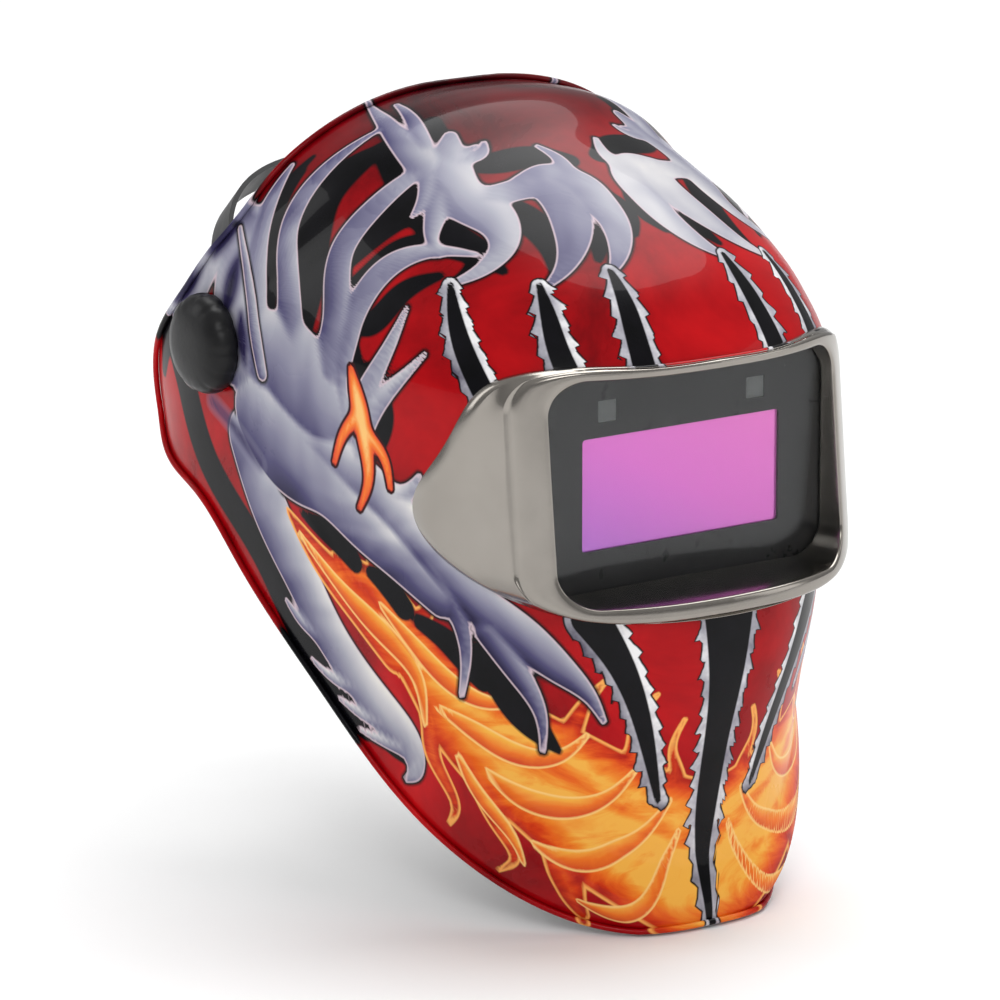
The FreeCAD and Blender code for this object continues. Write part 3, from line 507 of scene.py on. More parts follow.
# Black slots, each with a rim of torn metal.
TEAR = (
    ((76, -122, 41, TIP), (80, -132, 27, 3.4), (82, -144, 14, 4.2), (81, -154, 2, 4.6)),
    ((54, -150, 43, TIP), (56, -158, 32, 3.2), (58, -168, 20, 4.2), (57, -177, 8, 4.6)),
    ((27, -159, 47, TIP), (28, -168, 36, 3.4), (30, -178, 22, 4.4), (31, -185, 12, 4.8)),
    ((53, -181, -80, 7.5), (44, -186, -96, 5.5), (35, -187, -116, 4), (28, -185, -136, 2.8),
     (22, -183, -157, TIP)),
    ((0, -198, -78, 12), (0, -196, -104, 8.5), (0, -190, -132, 6), (0, -184, -162, 5),
     (0, -183, -182, 3.4), (0, -186, -208, TIP)),
)
# Torn metal round a slot: how far it stands out, how deep its teeth are, and their spacing.
TORN_WIDTH, TORN_JAG, TORN_PITCH = 2.2, 4.2, 8.0
TOOTH_SEED, TOOTH_COUNT, SIDE_SHIFT, SIDE_SKIP = 40, 64, 0.43, 29
# Millimetres over which neighbouring strokes run together.
BLEND, FLAME_BLEND = 2.6, 0.8
FAR_OUTSIDE, REACH = -40.0, 30  # depth away from every stroke, and how far a stroke is felt
ART_LIGHT = np.array((0.0, -0.45, 0.9))  # where the painted light comes from
LAYERS = {"shadow": SHADOW, "blade": BLADE, "silver": SILVER, "flame": FLAME, "lick": LICK, "lobe": LOBE,
          "facet": PRINT_AND_CREASE_SHADE, "rib": PAINTED_RIB_HIGHLIGHT, "spark": SPARK, "tear": TEAR}


def stroke_fields(points, strokes, tag, jag=0.0, blend=BLEND):
    """Depth inside the strokes, and how a point is lit across the stroke it lies in."""
    depth = np.full(len(points), FAR_OUTSIDE)
    tone = np.zeros(len(points))
    for number, stroke in enumerate(strokes):
        line = smooth_line(stroke, 1.0)
        centre, width = to_skin(line[:, :3]), np.maximum(line[:, 3], 0.3)
        low, high = centre.min(axis=0) - REACH, centre.max(axis=0) + REACH
        near = np.flatnonzero(((points > low) & (points < high)).all(axis=1))
        best = np.full(len(near), -1e9)
        which = np.zeros(len(near), int)
        for k in range(len(centre)):
            reach = width[k] - np.linalg.norm(points[near] - centre[k], axis=1)
            better = reach > best
            best[better] = reach[better]
            which[better] = k
        away = points[near] - centre[which]
        lit = (away @ ART_LIGHT) / np.maximum(width[which], 1.5)
        if jag:
            teeth = np.random.default_rng(TOOTH_SEED + number).uniform(0.25, 1.0, TOOTH_COUNT)
            run = np.gradient(centre, axis=0)[which]
            side = np.sign(np.cross(run, away)[:, 1] + 1e-9)
            place = which / TORN_PITCH + SIDE_SHIFT * side + 3
            tooth = teeth[(place.astype(int) + (side > 0) * SIDE_SKIP) % TOOTH_COUNT]
            fade = np.minimum(width[which] / 3.5, 1)
            best = best + jag * fade * tooth * ((place % 1.0) ** 1.5 - 0.25)
        old = depth[near]
        share = np.clip(0.5 + 0.5 * (best - old) / blend, 0, 1)
        depth[near] = best * share + old * (1 - share) + blend * share * (1 - share)
        tone[near] = lit * share + tone[near] * (1 - share)
    return {tag: depth, tag + "_tone": np.clip(tone, -1.4, 1.4)}


def painted_fields(points):
    """Everything that the shell's paint needs to know at each point."""
    fields = {}
    for tag, strokes in LAYERS.items():
        blend = FLAME_BLEND if tag in ("flame", "lick") else BLEND
        fields.update(stroke_fields(points, strokes, tag, blend=blend))
    torn = [[(x, y, z, w + TORN_WIDTH * min(1, w / 2)) for x, y, z, w in stroke] for stroke in TEAR]
    fields.update(stroke_fields(points, torn, "torn", TORN_JAG))
    return fields


# ---- materials ----
class Shader:
    """A node material with short calls for the nodes used here."""

    def __init__(self, name):
        self.material = bpy.data.materials.new(name)
        self.material.use_nodes = True
        self.tree = self.material.node_tree
        self.surface = self.tree.nodes["Principled BSDF"]
        self.place = self.add("ShaderNodeTexCoord").outputs["Object"]

    def add(self, kind, **settings):
        node = self.tree.nodes.new(kind)
        for key, value in settings.items():
            setattr(node, key, value)
        return node

    def feed(self, socket, value):
        if isinstance(value, bpy.types.NodeSocket):
            self.tree.links.new(value, socket)
        elif isinstance(value, tuple) and len(value) == 3 and socket.type == "RGBA":
            socket.default_value = (*value, 1.0)
        else:
            socket.default_value = value

    def put(self, node, **values):
        """Values or links on a node's sockets; names use _ for a space."""
        for key, value in values.items():
            self.feed(node.inputs[key.replace("_", " ")], value)
        return node

    def set(self, **values):
        self.put(self.surface, **values)

    def rough(self, value, low, high, smoothest, roughest):
        """Roughness that follows a value as it goes from low to high."""
        self.set(Roughness=self.ramp(value, low, high, smoothest, roughest))

    def axes(self):
        """x, y and z of the shaded point, in metres."""
        return self.put(self.add("ShaderNodeSeparateXYZ"), Vector=self.place).outputs

    def attribute(self, name):
        return self.add("ShaderNodeAttribute", attribute_name="art_" + name).outputs["Fac"]

    def maths(self, operation, *values):
        node = self.add("ShaderNodeMath", operation=operation)
        for k, value in enumerate(values):
            self.feed(node.inputs[k], value)
        return node.outputs[0]

    def ramp(self, value, low, high, to_low=0.0, to_high=1.0):
        node = self.add("ShaderNodeMapRange")
        self.put(node, From_Min=low, From_Max=high, To_Min=to_low, To_Max=to_high, Value=value)
        return node.outputs[0]

    def colours(self, value, *stops):
        """Colour ramp; each stop is (position, (r, g, b))."""
        node = self.add("ShaderNodeValToRGB")
        bar = node.color_ramp
        while len(bar.elements) < len(stops):
            bar.elements.new(0.5)
        for element, (at, colour) in zip(bar.elements, stops):
            element.position = at
            element.color = (*colour, 1.0)
        self.feed(node.inputs["Fac"], value)
        return node.outputs["Color"]

    def mix(self, share, first, second):
        node = self.add("ShaderNodeMix", data_type="RGBA")
        self.feed(node.inputs[0], share)
        self.feed(node.inputs[6], first)
        self.feed(node.inputs[7], second)
        return node.outputs[2]

    def noise(self, scale, detail=3.0, rough=0.5, stretch=None, warp=0.0):
        place = self.place
        if stretch:
            node = self.add("ShaderNodeMapping")
            place = self.put(node, Vector=place, Scale=stretch).outputs[0]
        node = self.add("ShaderNodeTexNoise")
        self.put(node, Vector=place, Scale=scale, Detail=detail, Roughness=rough, Distortion=warp)
        return node.outputs["Fac"]

    def bump(self, height, strength, distance):
        node = self.put(self.add("ShaderNodeBump"), Strength=strength, Distance=distance, Height=height)
        self.set(Normal=node.outputs[0])


def shell_paint():
    """Printed pattern under clear coat, with painted light and shade for a moulded rib and crease: the
    stroke fields switch between the colours.
    """
    s = Shader("shell_paint")
    crisp = 0.28  # millimetres either side of an edge over which colours change
    cloud = s.noise(14.0, 5.0, 0.62, warp=0.6)
    broad = s.noise(9.0, 3.0, 0.5, warp=0.8)
    fine = s.noise(60.0, 4.0, 0.6)
    height = s.ramp(s.axes()["Z"], 0.04, 0.09)
    crown = s.maths("MULTIPLY", height, s.ramp(s.axes()["Y"], -0.16, -0.06))
    red = s.colours(cloud, (0.3, (0.17, 0.0, 0.002)), (0.5, (0.38, 0.001, 0.004)),
                    (0.72, (0.58, 0.004, 0.007)))
    maroon = s.colours(cloud, (0.35, (0.035, 0.0, 0.002)), (0.7, (0.2, 0.001, 0.005)))
    colour = s.mix(crown, red, maroon)

    def lay(colour, field, paint, at=0.0, soft=crisp):
        """Paint over the colour wherever the field is above a level."""
        return s.mix(s.ramp(field, at - soft, at + soft), colour, paint)

    def shaken(value, noise, amount):
        return s.maths("ADD", value, s.maths("MULTIPLY", s.maths("SUBTRACT", noise, 0.5), amount))

    black = s.colours(fine, (0.3, (0.001, 0.001, 0.0015)), (0.8, (0.005, 0.0045, 0.007)))

    def airbrushed(tag, colour, joins=None):
        """Metal with a pale outline and a dark halo, except where it joins the metal below."""
        depth = s.attribute(tag)
        tone = s.maths("MULTIPLY", shaken(s.attribute(tag + "_tone"), broad, 4.2), 0.8)
        body = s.colours(s.ramp(tone, -1.1, 1.1),
                         (0.0, (0.02, 0.016, 0.055)), (0.2, (0.075, 0.068, 0.16)), (0.4, (0.21, 0.205, 0.3)),
                         (0.58, (0.38, 0.38, 0.45)), (0.76, (0.62, 0.61, 0.63)), (0.94, (0.92, 0.88, 0.8)))
        edge = lay(lay(colour, depth, black, at=-1.2, soft=0.7), depth, (0.66, 0.52, 0.58))
        colour = edge if joins is None else s.mix(joins, edge, colour)
        return lay(colour, depth, body, at=0.55, soft=0.35)

    colour = lay(colour, s.attribute("shadow"), black, soft=0.6)
    colour = airbrushed("blade", colour)

    flame = s.attribute("flame")
    swirl = s.noise(34.0, 4.0, 0.6, (1, 0.6, 2.2), 1.4)
    heat = shaken(s.ramp(flame, 0.0, 14.0), swirl, 1.3)
    fire = s.colours(heat, (0.0, (0.42, 0.01, 0.003)), (0.25, (0.66, 0.045, 0.006)),
                     (0.5, (0.82, 0.13, 0.012)), (0.75, (0.89, 0.26, 0.025)), (1.0, (0.93, 0.46, 0.07)))
    colour = lay(colour, flame, (0.93, 0.42, 0.1))
    colour = lay(colour, flame, fire, at=1.1, soft=0.5)
    lick = s.attribute("lick")
    tongue = s.colours(s.ramp(shaken(s.attribute("lick_tone"), swirl, 1.2), -1.0, 1.0),
                       (0.0, (0.6, 0.035, 0.015)), (0.5, (0.86, 0.18, 0.02)), (1.0, (0.95, 0.5, 0.07)))
    colour = lay(colour, lick, (0.96, 0.6, 0.2))
    colour = lay(colour, lick, tongue, at=0.8, soft=0.4)

    colour = lay(colour, s.attribute("lobe"), black, soft=0.5)
    blade = s.attribute("blade")
    bare = s.maths("SUBTRACT", blade, s.maths("MAXIMUM", flame, s.attribute("lobe")))
    bare = s.maths("MINIMUM", bare, s.maths("SUBTRACT", blade, 1.0))
    colour = airbrushed("silver", colour, s.ramp(bare, 0.0, 2.0))
    # Dark print marks, and painted shade along the shell's moulded crease below the knob.
    facet = s.attribute("facet")
    print_and_crease_shade_colour = s.colours(s.ramp(facet, -4.0, 4.0),
                       (0.0, (0.3, 0.29, 0.4)), (0.5, (0.055, 0.045, 0.13)), (1.0, (0.012, 0.01, 0.035)))
    colour = s.mix(s.ramp(facet, -4.0, 1.5), colour, print_and_crease_shade_colour)
    # Painted highlight and shade of the moulded rib, which the shell's mesh does not carry.
    colour = airbrushed("rib", colour)
    spark = s.attribute("spark")
    glow = s.colours(s.ramp(spark, 0.0, 3.2), (0.0, (0.74, 0.05, 0.02)), (0.5, (0.92, 0.22, 0.03)),
                     (1.0, (0.96, 0.55, 0.18)))
    colour = lay(colour, spark, (0.03, 0.001, 0.002), at=-1.2)
    colour = lay(colour, spark, glow)

    torn = s.attribute("torn")
    ragged = s.colours(s.ramp(shaken(s.attribute("torn_tone"), fine, 3.2), -1.2, 1.2),
                       (0.0, (0.1, 0.09, 0.13)), (0.45, (0.42, 0.41, 0.46)), (0.8, (0.88, 0.87, 0.88)))
    colour = lay(colour, torn, black, at=-0.8)
    colour = lay(colour, torn, ragged)
    colour = lay(colour, s.attribute("tear"), black)

    s.set(Base_Color=colour)
    s.rough(cloud, 0.2, 0.8, 0.24, 0.34)
    s.set(Metallic=0.0, Specular_IOR_Level=0.06, Coat_Weight=0.16, Coat_Roughness=0.03, Coat_IOR=1.5)
    s.bump(s.noise(260.0, 2.0, 0.5), 0.05, 0.0003)
    return s.material


def moulded(name, colour, rough, grain=420.0, depth=0.25, second=None):
    """Moulded plastic, rubber or leather: fine grain, slight mottling and scuffed roughness."""
    s = Shader(name)
    broad = s.noise(22.0, 5.0, 0.6)
    lighter = second or tuple(min(1.0, c * 1.6 + 0.006) for c in colour)
    s.set(Base_Color=s.colours(broad, (0.3, colour), (0.75, lighter)))
    s.rough(s.noise(90.0, 4.0, 0.65), 0.25, 0.75, rough - 0.06, rough + 0.08)
    s.bump(s.noise(grain, 3.0, 0.6), depth, 0.00025)
    return s


def metal(name, colour, rough, brush=(1, 1, 1), scratch=0.08):
    """Plated or plain metal with fine drawn lines."""
    s = Shader(name)
    lines = s.noise(300.0, 4.0, 0.7, brush)
    dull = s.noise(18.0, 4.0, 0.6)
    s.set(Base_Color=s.colours(dull, (0.3, tuple(c * 0.86 for c in colour)), (0.75, colour)))
    s.rough(lines, 0.25, 0.75, rough * 0.75, rough * 1.3)
    s.set(Metallic=1.0)
    s.bump(lines, scratch, 0.0001)
    return s


def frame_plating():
    """Smoky satin plating of the front frame."""
    s = Shader("frame_plating")
    dull = s.noise(16.0, 4.0, 0.55)
    s.set(Base_Color=s.colours(dull, (0.3, (0.25, 0.23, 0.205)), (0.75, (0.33, 0.305, 0.275))))
    s.rough(s.noise(120.0, 4.0, 0.6), 0.25, 0.75, 0.17, 0.23)
    s.set(Metallic=1.0, Coat_Weight=0.35, Coat_Roughness=0.06)
    s.bump(s.noise(500.0, 2.0, 0.5), 0.03, 0.0001)
    return s.material


def clear_plastic():
    """Protection plate: clear, with faint smears."""
    s = Shader("clear_plastic")
    s.rough(s.noise(40.0, 5.0, 0.6), 0.3, 0.8, 0.015, 0.07)
    s.set(Base_Color=(0.96, 0.97, 0.97), Transmission_Weight=1.0, IOR=1.22, Specular_IOR_Level=0.25)
    s.bump(s.noise(9.0, 2.0, 0.4), 0.03, 0.001)
    return s.material


def filter_coating():
    """Interference coating of the welding filter: magenta with a violet drift."""
    s = Shader("filter_coating")
    across = s.ramp(s.axes()["X"], -0.048, 0.048)
    drift = s.maths("ADD", across, s.ramp(s.axes()["Z"], -0.06, -0.014))
    drift = s.maths("ADD", drift, s.maths("MULTIPLY", s.noise(7.0, 2.0, 0.4), 0.3))
    s.set(Base_Color=s.colours(s.maths("MULTIPLY", drift, 0.45), (0.0, (0.46, 0.12, 0.68)),
                               (0.5, (0.8, 0.14, 0.66)), (1.0, (0.9, 0.17, 0.62))))
    s.rough(s.noise(60.0, 3.0, 0.5), 0.3, 0.8, 0.04, 0.09)
    s.set(Metallic=0.35, Specular_IOR_Level=0.6, Coat_Weight=0.6, Coat_Roughness=0.03)
    s.bump(s.noise(6.0, 1.0, 0.4), 0.02, 0.001)
    return s.material


def leather():
    """Sweatband leather: small pores over the grain."""
    s = moulded("sweatband_leather", (0.018, 0.016, 0.015), 0.52, 160.0, 0.5, (0.04, 0.036, 0.032))
    cells = s.add("ShaderNodeTexVoronoi")
    s.put(cells, Vector=s.place, Scale=420.0)
    s.bump(cells.outputs["Distance"], 0.5, 0.0004)
    return s.material


def knitted():
    """Knitted cover: two crossed sets of fine ribs."""
    s = moulded("pad_knit", (0.02, 0.02, 0.023), 0.85, 700.0, 0.3, (0.05, 0.05, 0.055))
    first = s.add("ShaderNodeTexWave", bands_direction="X")
    second = s.add("ShaderNodeTexWave", bands_direction="Z")
    for wave in (first, second):
        s.put(wave, Vector=s.place, Scale=160.0, Distortion=1.5)
    weave = s.maths("MULTIPLY", first.outputs["Fac"], second.outputs["Fac"])
    s.bump(weave, 0.6, 0.0005)
    s.set(Sheen_Weight=0.4, Sheen_Roughness=0.4)
    return s.material


def all_materials():
    """The record's material slots, each with a finish of its own."""
    made = {}
    for name, colour, rough, grain, depth in (
            ("filter_plastic", (0.01, 0.01, 0.011), 0.3, 600.0, 0.04),
            ("black_plastic", (0.003, 0.003, 0.0035), 0.34, 380.0, 0.2),
            ("dark_glass", (0.006, 0.012, 0.011), 0.08, 40.0, 0.02),
            ("lamp", (0.62, 0.66, 0.58), 0.3, 200.0, 0.1),
            ("board", (0.008, 0.06, 0.025), 0.4, 90.0, 0.15),
            ("shell_plastic", (0.01, 0.01, 0.011), 0.42, 300.0, 0.2),
            ("headgear_plastic", (0.014, 0.014, 0.015), 0.45, 320.0, 0.3),
            ("button_rubber", (0.03, 0.03, 0.033), 0.6, 260.0, 0.35),
            ("nylon", (0.62, 0.6, 0.54), 0.4, 240.0, 0.15),
            ("fibre", (0.2, 0.08, 0.035), 0.62, 160.0, 0.5)):
        made[name] = moulded(name, colour, rough, grain, depth)
    made["filter_plastic"].set(Specular_IOR_Level=0.3, Coat_Weight=0.15, Coat_Roughness=0.08)
    made["black_plastic"].set(Specular_IOR_Level=0.22)
    made["dark_glass"].set(Coat_Weight=1.0, Coat_Roughness=0.03)
    for name, colour, rough, brush in (
            ("steel", (0.6, 0.6, 0.61), 0.3, (1, 8, 1)), ("brass", (0.74, 0.52, 0.2), 0.28, (1, 6, 1)),
            ("cell_steel", (0.7, 0.7, 0.71), 0.22, (6, 1, 6))):
        made[name] = metal(name, colour, rough, brush)
    finished = {name: shader.material for name, shader in made.items()}
    finished.update(frame_chrome=frame_plating(), clear_plate=clear_plastic(), filter_glass=filter_coating(),
                    sweatband_leather=leather(), pad_foam=knitted())
    return finished


# ---- pieces ----
MATERIALS = all_materials()


def finish_piece(piece, body, slot, *nodes, paint=None):
    """Material, body, slot and the CAD nodes that the piece stands for."""
    piece.data.materials.clear()
    piece.data.materials.append(paint or MATERIALS[slot])
    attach(piece, body)
    if nodes:
        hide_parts(*nodes)


def store_fields(piece, fields):
    """Per-point values for the paint; the prefix keeps clear of the renderer's own names."""
    for name, values in fields.items():
        layer = piece.data.attributes.new("art_" + name, "FLOAT", "POINT")
        layer.data.foreach_set("value", values.astype(np.float32))


def below_top(points):
    """Keeps the points from rising above the CAD part's highest point."""
    points[:, 2] = np.minimum(points[:, 2], cad_box[1].z / MM)


def make_shell():
    """Painted skin, plain lining and a round bead along each of the shell's edges."""
    rim = WALL / 2
    points, faces, fields = clipped_shell(SKIN_STEPS, 0.0, rim, painted_fields)
    below_top(points)
    skin = new_mesh("shell_skin", points, faces)
    store_fields(skin, fields)
    paint = shell_paint()
    finish_piece(skin, "face_shell", "shell_plastic", "shell", paint=paint)
    normals = np.empty(len(points) * 3)
    skin.data.vertex_normals.foreach_get("vector", normals)
    normals = normals.reshape(-1, 3)
    inner_points, inner_faces, _ = clipped_shell(LINING_STEPS, -WALL, rim)
    lining = new_mesh("shell_lining", inner_points, [f[::-1] for f in inner_faces])
    finish_piece(lining, "face_shell", "shell_plastic")
    for loop in border_loops(faces):
        ring = points[loop] - normals[loop] * rim
        if len(ring) < SHORTEST_EDGE:
            continue
        where = "visor" if np.ptp(ring[:, 1]) < VISOR_EDGE_SPAN else "free"
        edge = tube("shell_%s_edge" % where, evenly(ring, EDGE_SPACING), rim)
        spots = np.array([v.co[:] for v in edge.data.vertices]) / MM
        below_top(spots)
        edge.data.vertices.foreach_set("co", (spots * MM).ravel())
        painted_side = to_skin(spots)
        painted_side[:, 0] = np.abs(painted_side[:, 0])
        store_fields(edge, painted_fields(painted_side))
        finish_piece(edge, "face_shell", "shell_plastic", paint=paint)


def halve(low, high, is_low):
    """Values between low and high where is_low stops being true."""
    for _ in range(HALVINGS):
        mid = (low + high) / 2
        below = is_low(mid)
        low, high = np.where(below, mid, low), np.where(below, high, mid)
    return low, high


def spread(turn, reach):
    """x and z at a distance from the visor's middle along each direction."""
    return reach * np.cos(turn), VISOR_MID_Z + reach * np.sin(turn)


def ray_reach(turn, half_w, half_h, corner):
    """Distance from the visor's middle to a rounded rectangle along each direction."""
    return halve(np.zeros(len(turn)), np.full(len(turn), 200.0),
                 lambda reach: rounded_rectangle(*spread(turn, reach), half_w, half_h, corner) <= 0)[0]


def outline_reach(turn):
    """Distance from the visor's middle to the frame's outer edge along each direction."""
    right = np.array(FRAME_OUTLINE, float)
    ring = np.concatenate([right, right[-2:0:-1] * (-1, 1)])
    line = smooth_line(np.column_stack([ring, np.zeros(len(ring))]), 0.5, closed=True)
    angle = np.arctan2(line[:, 1] - VISOR_MID_Z, line[:, 0])
    reach = np.hypot(line[:, 1] - VISOR_MID_Z, line[:, 0])
    order = np.argsort(angle)
    return np.interp(turn, angle[order], reach[order], period=2 * math.pi)


def on_face(x, z):
    """Depth of the frame's front face."""
    line = smooth_line(FRAME_FACE, 0.5)
    return np.interp(np.abs(x), line[:, 0], line[:, 1]) + (z - VISOR_MID_Z) * FRAME_LEAN


def make_front_frame():
    """Raised rim round the view, a crease, and wings that sweep back on to the shell."""
    turn = np.linspace(-math.pi, math.pi, FRAME_STEPS, endpoint=False)
    view = ray_reach(turn, VIEW_HALF_W, VIEW_HALF_H, VIEW_CORNER)
    outer = outline_reach(turn)
    ridge_wish = ray_reach(turn, RIDGE_HALF_W, RIDGE_HALF_H, RIDGE_CORNER)
    ridge = np.minimum(ridge_wish, view + (outer - view) * RIDGE_SHARE)
    room = outer - ridge
    wing = np.clip((room - 1.0) / 6.0, 0, 1)

    def at(reach, dy=0.0):
        x, z = spread(turn, reach)
        return np.column_stack([x, on_face(x, z) + dy, z])

    def flat(reach, y):
        x, z = spread(turn, reach)
        return np.column_stack([x, np.full(len(turn), y), z])

    def on_shell(reach, grow):
        x, z = spread(turn, reach)
        share = np.minimum(np.abs(x) / (HALF_WIDTH + grow), 1)

        def in_front(y):
            radius, power = radius_and_power(np.degrees(np.arctan2(z - POLE_Z, POLE_Y - y)), grow)
            return share ** power + (np.hypot(z - POLE_Z, y - POLE_Y) / radius) ** power > 1

        y = halve(np.full(len(x), -260.0), np.full(len(x), -60.0), in_front)[1]
        return np.column_stack([x, y, z])

    rings = [flat(view - 1.0, PLATE_FRONT_Y + 0.6), flat(view - 0.8, PLATE_FRONT_Y - 0.2)]
    inner_front = at(view + 0.2, 1.6)
    for k in (0.35, 0.7):
        rings.append(rings[1] * (1 - k) + inner_front * k)
    rings.append(inner_front)
    rings += [at(view + out, depth) for out, depth in LIP]
    for k in (0.35, 0.65, 0.9):
        rings.append(at(view + 2.6 + (ridge - view - 3.6) * k, -0.1))
    rings += [at(ridge - 0.6, 0.15), at(ridge, 0.8)]
    base = at(ridge, 0.8)
    edge = on_shell(outer - 0.5, 2.6)
    drop = (1.2 + 2.6 * wing)[:, None]
    back = np.array((0, 1.0, 0))
    side = np.column_stack([np.cos(turn), np.zeros(len(turn)), np.sin(turn)])
    crease = base + back * drop + side * (0.4 * wing)[:, None]
    start = crease + side * (1.1 * wing)[:, None] - back * (0.9 * wing)[:, None]
    rings += [crease, start]
    sag = (1.6 * wing)[:, None]
    for k in WING_SHARES:
        point = start * (1 - k) + edge * k
        point = point + (back * 0.7 - side * 0.5) * sag * math.sin(math.pi * k) * 0.5
        rings.append(to_skin(point, 1.2, only_lift=True))
    rings += [edge] + [on_shell(outer + out, grow) for out, grow in EDGE_ROLL]
    piece = new_mesh("front_frame_plated", np.concatenate(rings), ring_faces(len(rings), len(turn)))
    finish_piece(piece, "face_shell", "frame_chrome", "front_frame")


def dress_cad():
    """Each CAD node keeps its shape and takes the finish of its slot."""
    slots = {part["node"]: part["material_slot"] for part in frame["record"]["subparts"]}
    for name, node in frame["nodes"].items():
        node.data.materials.clear()
        node.data.materials.append(MATERIALS[slots[name]])


FOAM_VOXEL, FOAM_PRESSURE, FOAM_FRAMES = 0.003, 4.0, 20


def stuffed(node, name, cap, slot, body):
    """Foam piece swollen by a short cloth simulation from the CAD solid."""
    piece = link_new(name, frame["nodes"][node].data.copy())
    piece.data.materials.clear()
    bpy.context.view_layer.objects.active = piece
    remesh = piece.modifiers.new("even", "REMESH")
    remesh.mode = "VOXEL"
    remesh.voxel_size = FOAM_VOXEL
    bpy.ops.object.modifier_apply(modifier="even")
    start = np.array([v.co[:] for v in piece.data.vertices])
    cloth = piece.modifiers.new("cloth", "CLOTH")
    cloth.settings.use_pressure = True
    cloth.settings.uniform_pressure_force = FOAM_PRESSURE
    cloth.settings.effector_weights.gravity = 0.0
    for number in range(1, FOAM_FRAMES + 1):
        bpy.context.scene.frame_set(number)
    bpy.ops.object.modifier_apply(modifier="cloth")
    bpy.context.scene.frame_set(1)
    end = np.array([v.co[:] for v in piece.data.vertices])
    move = end - start
    length = np.linalg.norm(move, axis=1, keepdims=True)
    move *= np.minimum(1, cap * MM / np.maximum(length, 1e-9))
    piece.data.vertices.foreach_set("co", (start + move).ravel())
    smooth = piece.modifiers.new("round", "SUBSURF")
    smooth.levels = smooth.render_levels = 1
    bpy.ops.object.modifier_apply(modifier="round")
    piece.data.polygons.foreach_set("use_smooth", [True] * len(piece.data.polygons))
    finish_piece(piece, body, slot, node)


def make_tension_knobs():
    """Domed knobs with shallow finger grooves round the rim."""
    rings, steps = KNOB_PROFILE[1:], KNOB_STEPS
    for side, name in ((-1, "right"), (1, "left")):
        points = [(side * KNOB_PROFILE[0][1], 0.0, 0.0)]
        for radius, x in rings:
            share = min(1.0, max(0.0, (radius - GROOVE_START_R) / (GROOVE_FULL_R - GROOVE_START_R)))
            for k in range(steps):
                turn = math.tau * k / steps
                reach = radius - GROOVE_DEPTH * max(0.0, math.cos(KNOB_GROOVES * turn)) ** 2 * share
                points.append((side * x, reach * math.cos(turn), reach * math.sin(turn)))
        faces = [[0, 1 + k, 1 + (k + 1) % steps] for k in range(steps)]
        for row in range(len(rings) - 1):
            base = 1 + row * steps
            faces += [[base + k, base + steps + k, base + steps + (k + 1) % steps, base + (k + 1) % steps]
                      for k in range(steps)]
        faces.append([1 + (len(rings) - 1) * steps + k for k in range(steps)][::-1])
        if side < 0:
            faces = [face[::-1] for face in faces]
        knob = new_mesh("tension_dome_" + name, points, faces)
        finish_piece(knob, "tension_knob_" + name, "black_plastic", "tension_knob_" + name)


def make_rear_straps():
    """Rear straps: copies of the CAD straps in the headgear plastic, moved into world space."""
    for side in ("right", "left"):
        node = "rear_strap_" + side
        piece = link_new("flexible_" + node, frame["nodes"][node].data.copy())
        piece.data.materials.clear()
        piece.data.materials.append(MATERIALS["headgear_plastic"])
        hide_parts(node)
        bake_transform(piece)


# ---- studio ----
CAMERA_AZIMUTH, CAMERA_ELEVATION = -35.02, 13.94
CAMERA_DISTANCE, CAMERA_LENS = 2.5, 235.7
CAMERA_TARGET = Vector((0, -0.166, -0.037))
CAMERA_PAN = (0.06867, 0.00764)
LIGHTS_AIM = Vector((0, -0.06, -0.05))
FLOOR_HALF, FLOOR_GAP = 30000, 0.0005  # millimetres; metres below the lowest point


def make_camera():
    """Long lens in front of the wearer's right side, a little above."""
    turn, rise = math.radians(CAMERA_AZIMUTH), math.radians(CAMERA_ELEVATION)
    back = Vector((math.sin(turn) * math.cos(rise), -math.cos(turn) * math.cos(rise), math.sin(rise)))
    right = Vector((math.cos(turn), math.sin(turn), 0))
    up = back.cross(right)
    data = bpy.data.cameras.new("camera")
    data.lens = CAMERA_LENS
    data.sensor_width = 36.0
    camera = link_new("camera", data)
    camera.location = CAMERA_TARGET - right * CAMERA_PAN[0] - up * CAMERA_PAN[1] + back * CAMERA_DISTANCE
    camera.rotation_mode = "QUATERNION"
    camera.rotation_quaternion = Matrix((right, up, back)).transposed().to_quaternion()
    bpy.context.scene.camera = camera


def soft_light(name, place, size, power):
    """White area light aimed at the helmet."""
    data = bpy.data.lights.new(name, "AREA")
    data.shape = "RECTANGLE"
    data.size, data.size_y = size
    data.energy = power
    light = link_new(name, data)
    light.location = place
    light.rotation_mode = "QUATERNION"
    light.rotation_quaternion = (LIGHTS_AIM - Vector(place)).to_track_quat("-Z", "Y")


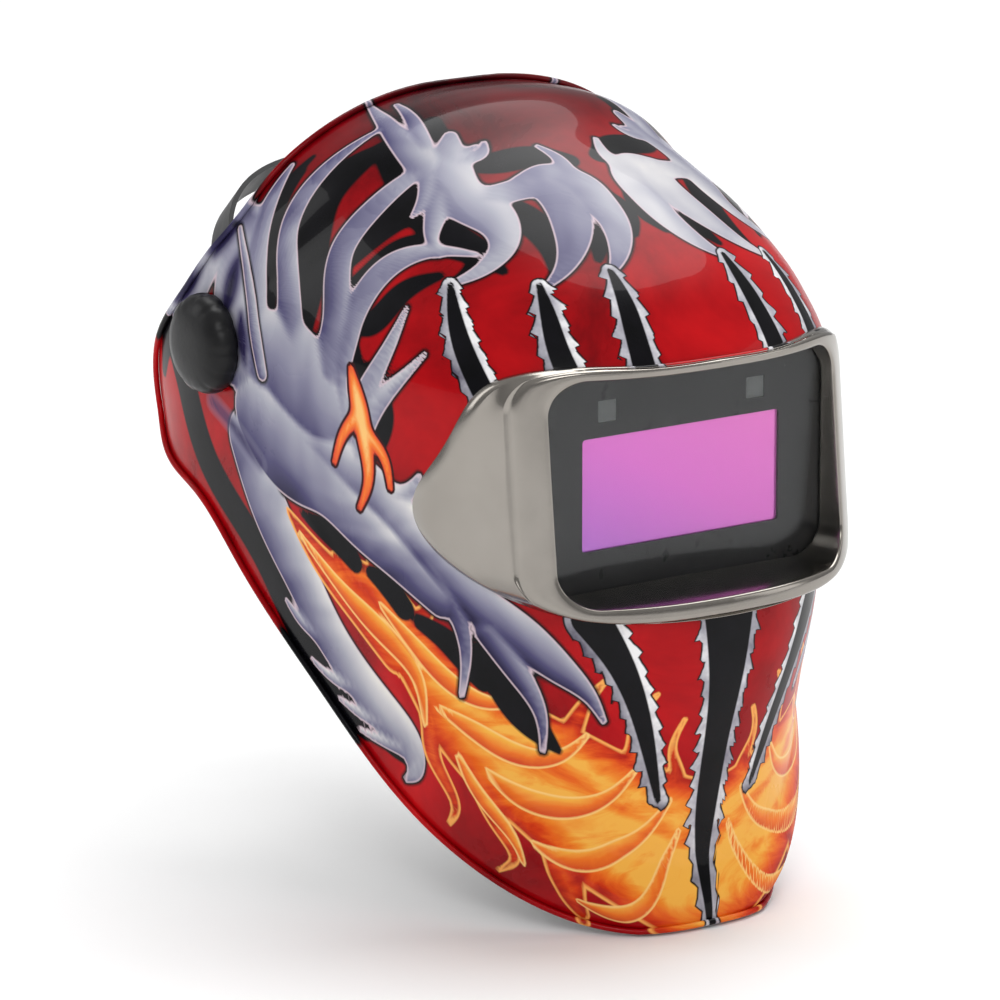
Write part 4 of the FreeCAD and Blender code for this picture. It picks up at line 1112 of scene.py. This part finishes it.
def make_studio():
    """White paper floor, three soft lamps, a wide overhead light and a bright world."""
    corners = ((-1, -1), (1, -1), (1, 1), (-1, 1))
    floor = new_mesh("floor", [(x * FLOOR_HALF, y * FLOOR_HALF, 0) for x, y in corners], [(0, 1, 2, 3)])
    floor.location.z = cad_box[0].z - FLOOR_GAP
    s = Shader("floor_paper")
    white = s.colours(s.noise(3.0, 4.0, 0.5), (0.3, (0.9, 0.9, 0.9)), (0.7, (0.93, 0.93, 0.93)))
    s.set(Base_Color=white, Roughness=0.85, Specular_IOR_Level=0.1)
    s.bump(s.noise(900.0, 2.0, 0.5), 0.05, 0.0002)
    floor.data.materials.append(s.material)
    soft_light("key", (-1.1, -1.6, 1.2), (0.9, 0.9), 11)
    soft_light("fill", (1.6, -1.3, 0.6), (0.8, 1.2), 4)
    soft_light("rear", (-1.3, 1.2, 0.8), (0.6, 1.2), 5)
    overhead = bpy.data.lights.new("overhead", "SUN")
    overhead.energy = 2.3
    overhead.angle = math.radians(50)
    link_new("overhead", overhead).rotation_euler = (math.radians(-14), math.radians(20), 0)
    world = bpy.data.worlds.new("studio")
    world.use_nodes = True
    tree = world.node_tree
    tree.nodes["Background"].inputs["Strength"].default_value = 0.5
    coordinates = tree.nodes.new("ShaderNodeTexCoord")
    split = tree.nodes.new("ShaderNodeSeparateXYZ")
    ramp = tree.nodes.new("ShaderNodeValToRGB")
    stops = ((0.0, (0.55, 0.55, 0.56, 1)), (0.55, (1, 1, 1, 1)))
    for element, (at, colour) in zip(ramp.color_ramp.elements, stops):
        element.position = at
        element.color = colour
    tree.links.new(coordinates.outputs["Generated"], split.inputs[0])
    tree.links.new(split.outputs["Z"], ramp.inputs["Fac"])
    tree.links.new(ramp.outputs["Color"], tree.nodes["Background"].inputs["Color"])
    bpy.context.scene.world = world
    bpy.context.scene.view_settings.view_transform = "Standard"


dress_cad()
make_shell()
make_front_frame()
stuffed("front_sweatband", "sweatband_pad", 1.5, "sweatband_leather", "headgear")
stuffed("nape_pad", "nape_cushion", 2.0, "pad_foam", "nape_unit")
make_tension_knobs()
make_rear_straps()
make_camera()
make_studio()
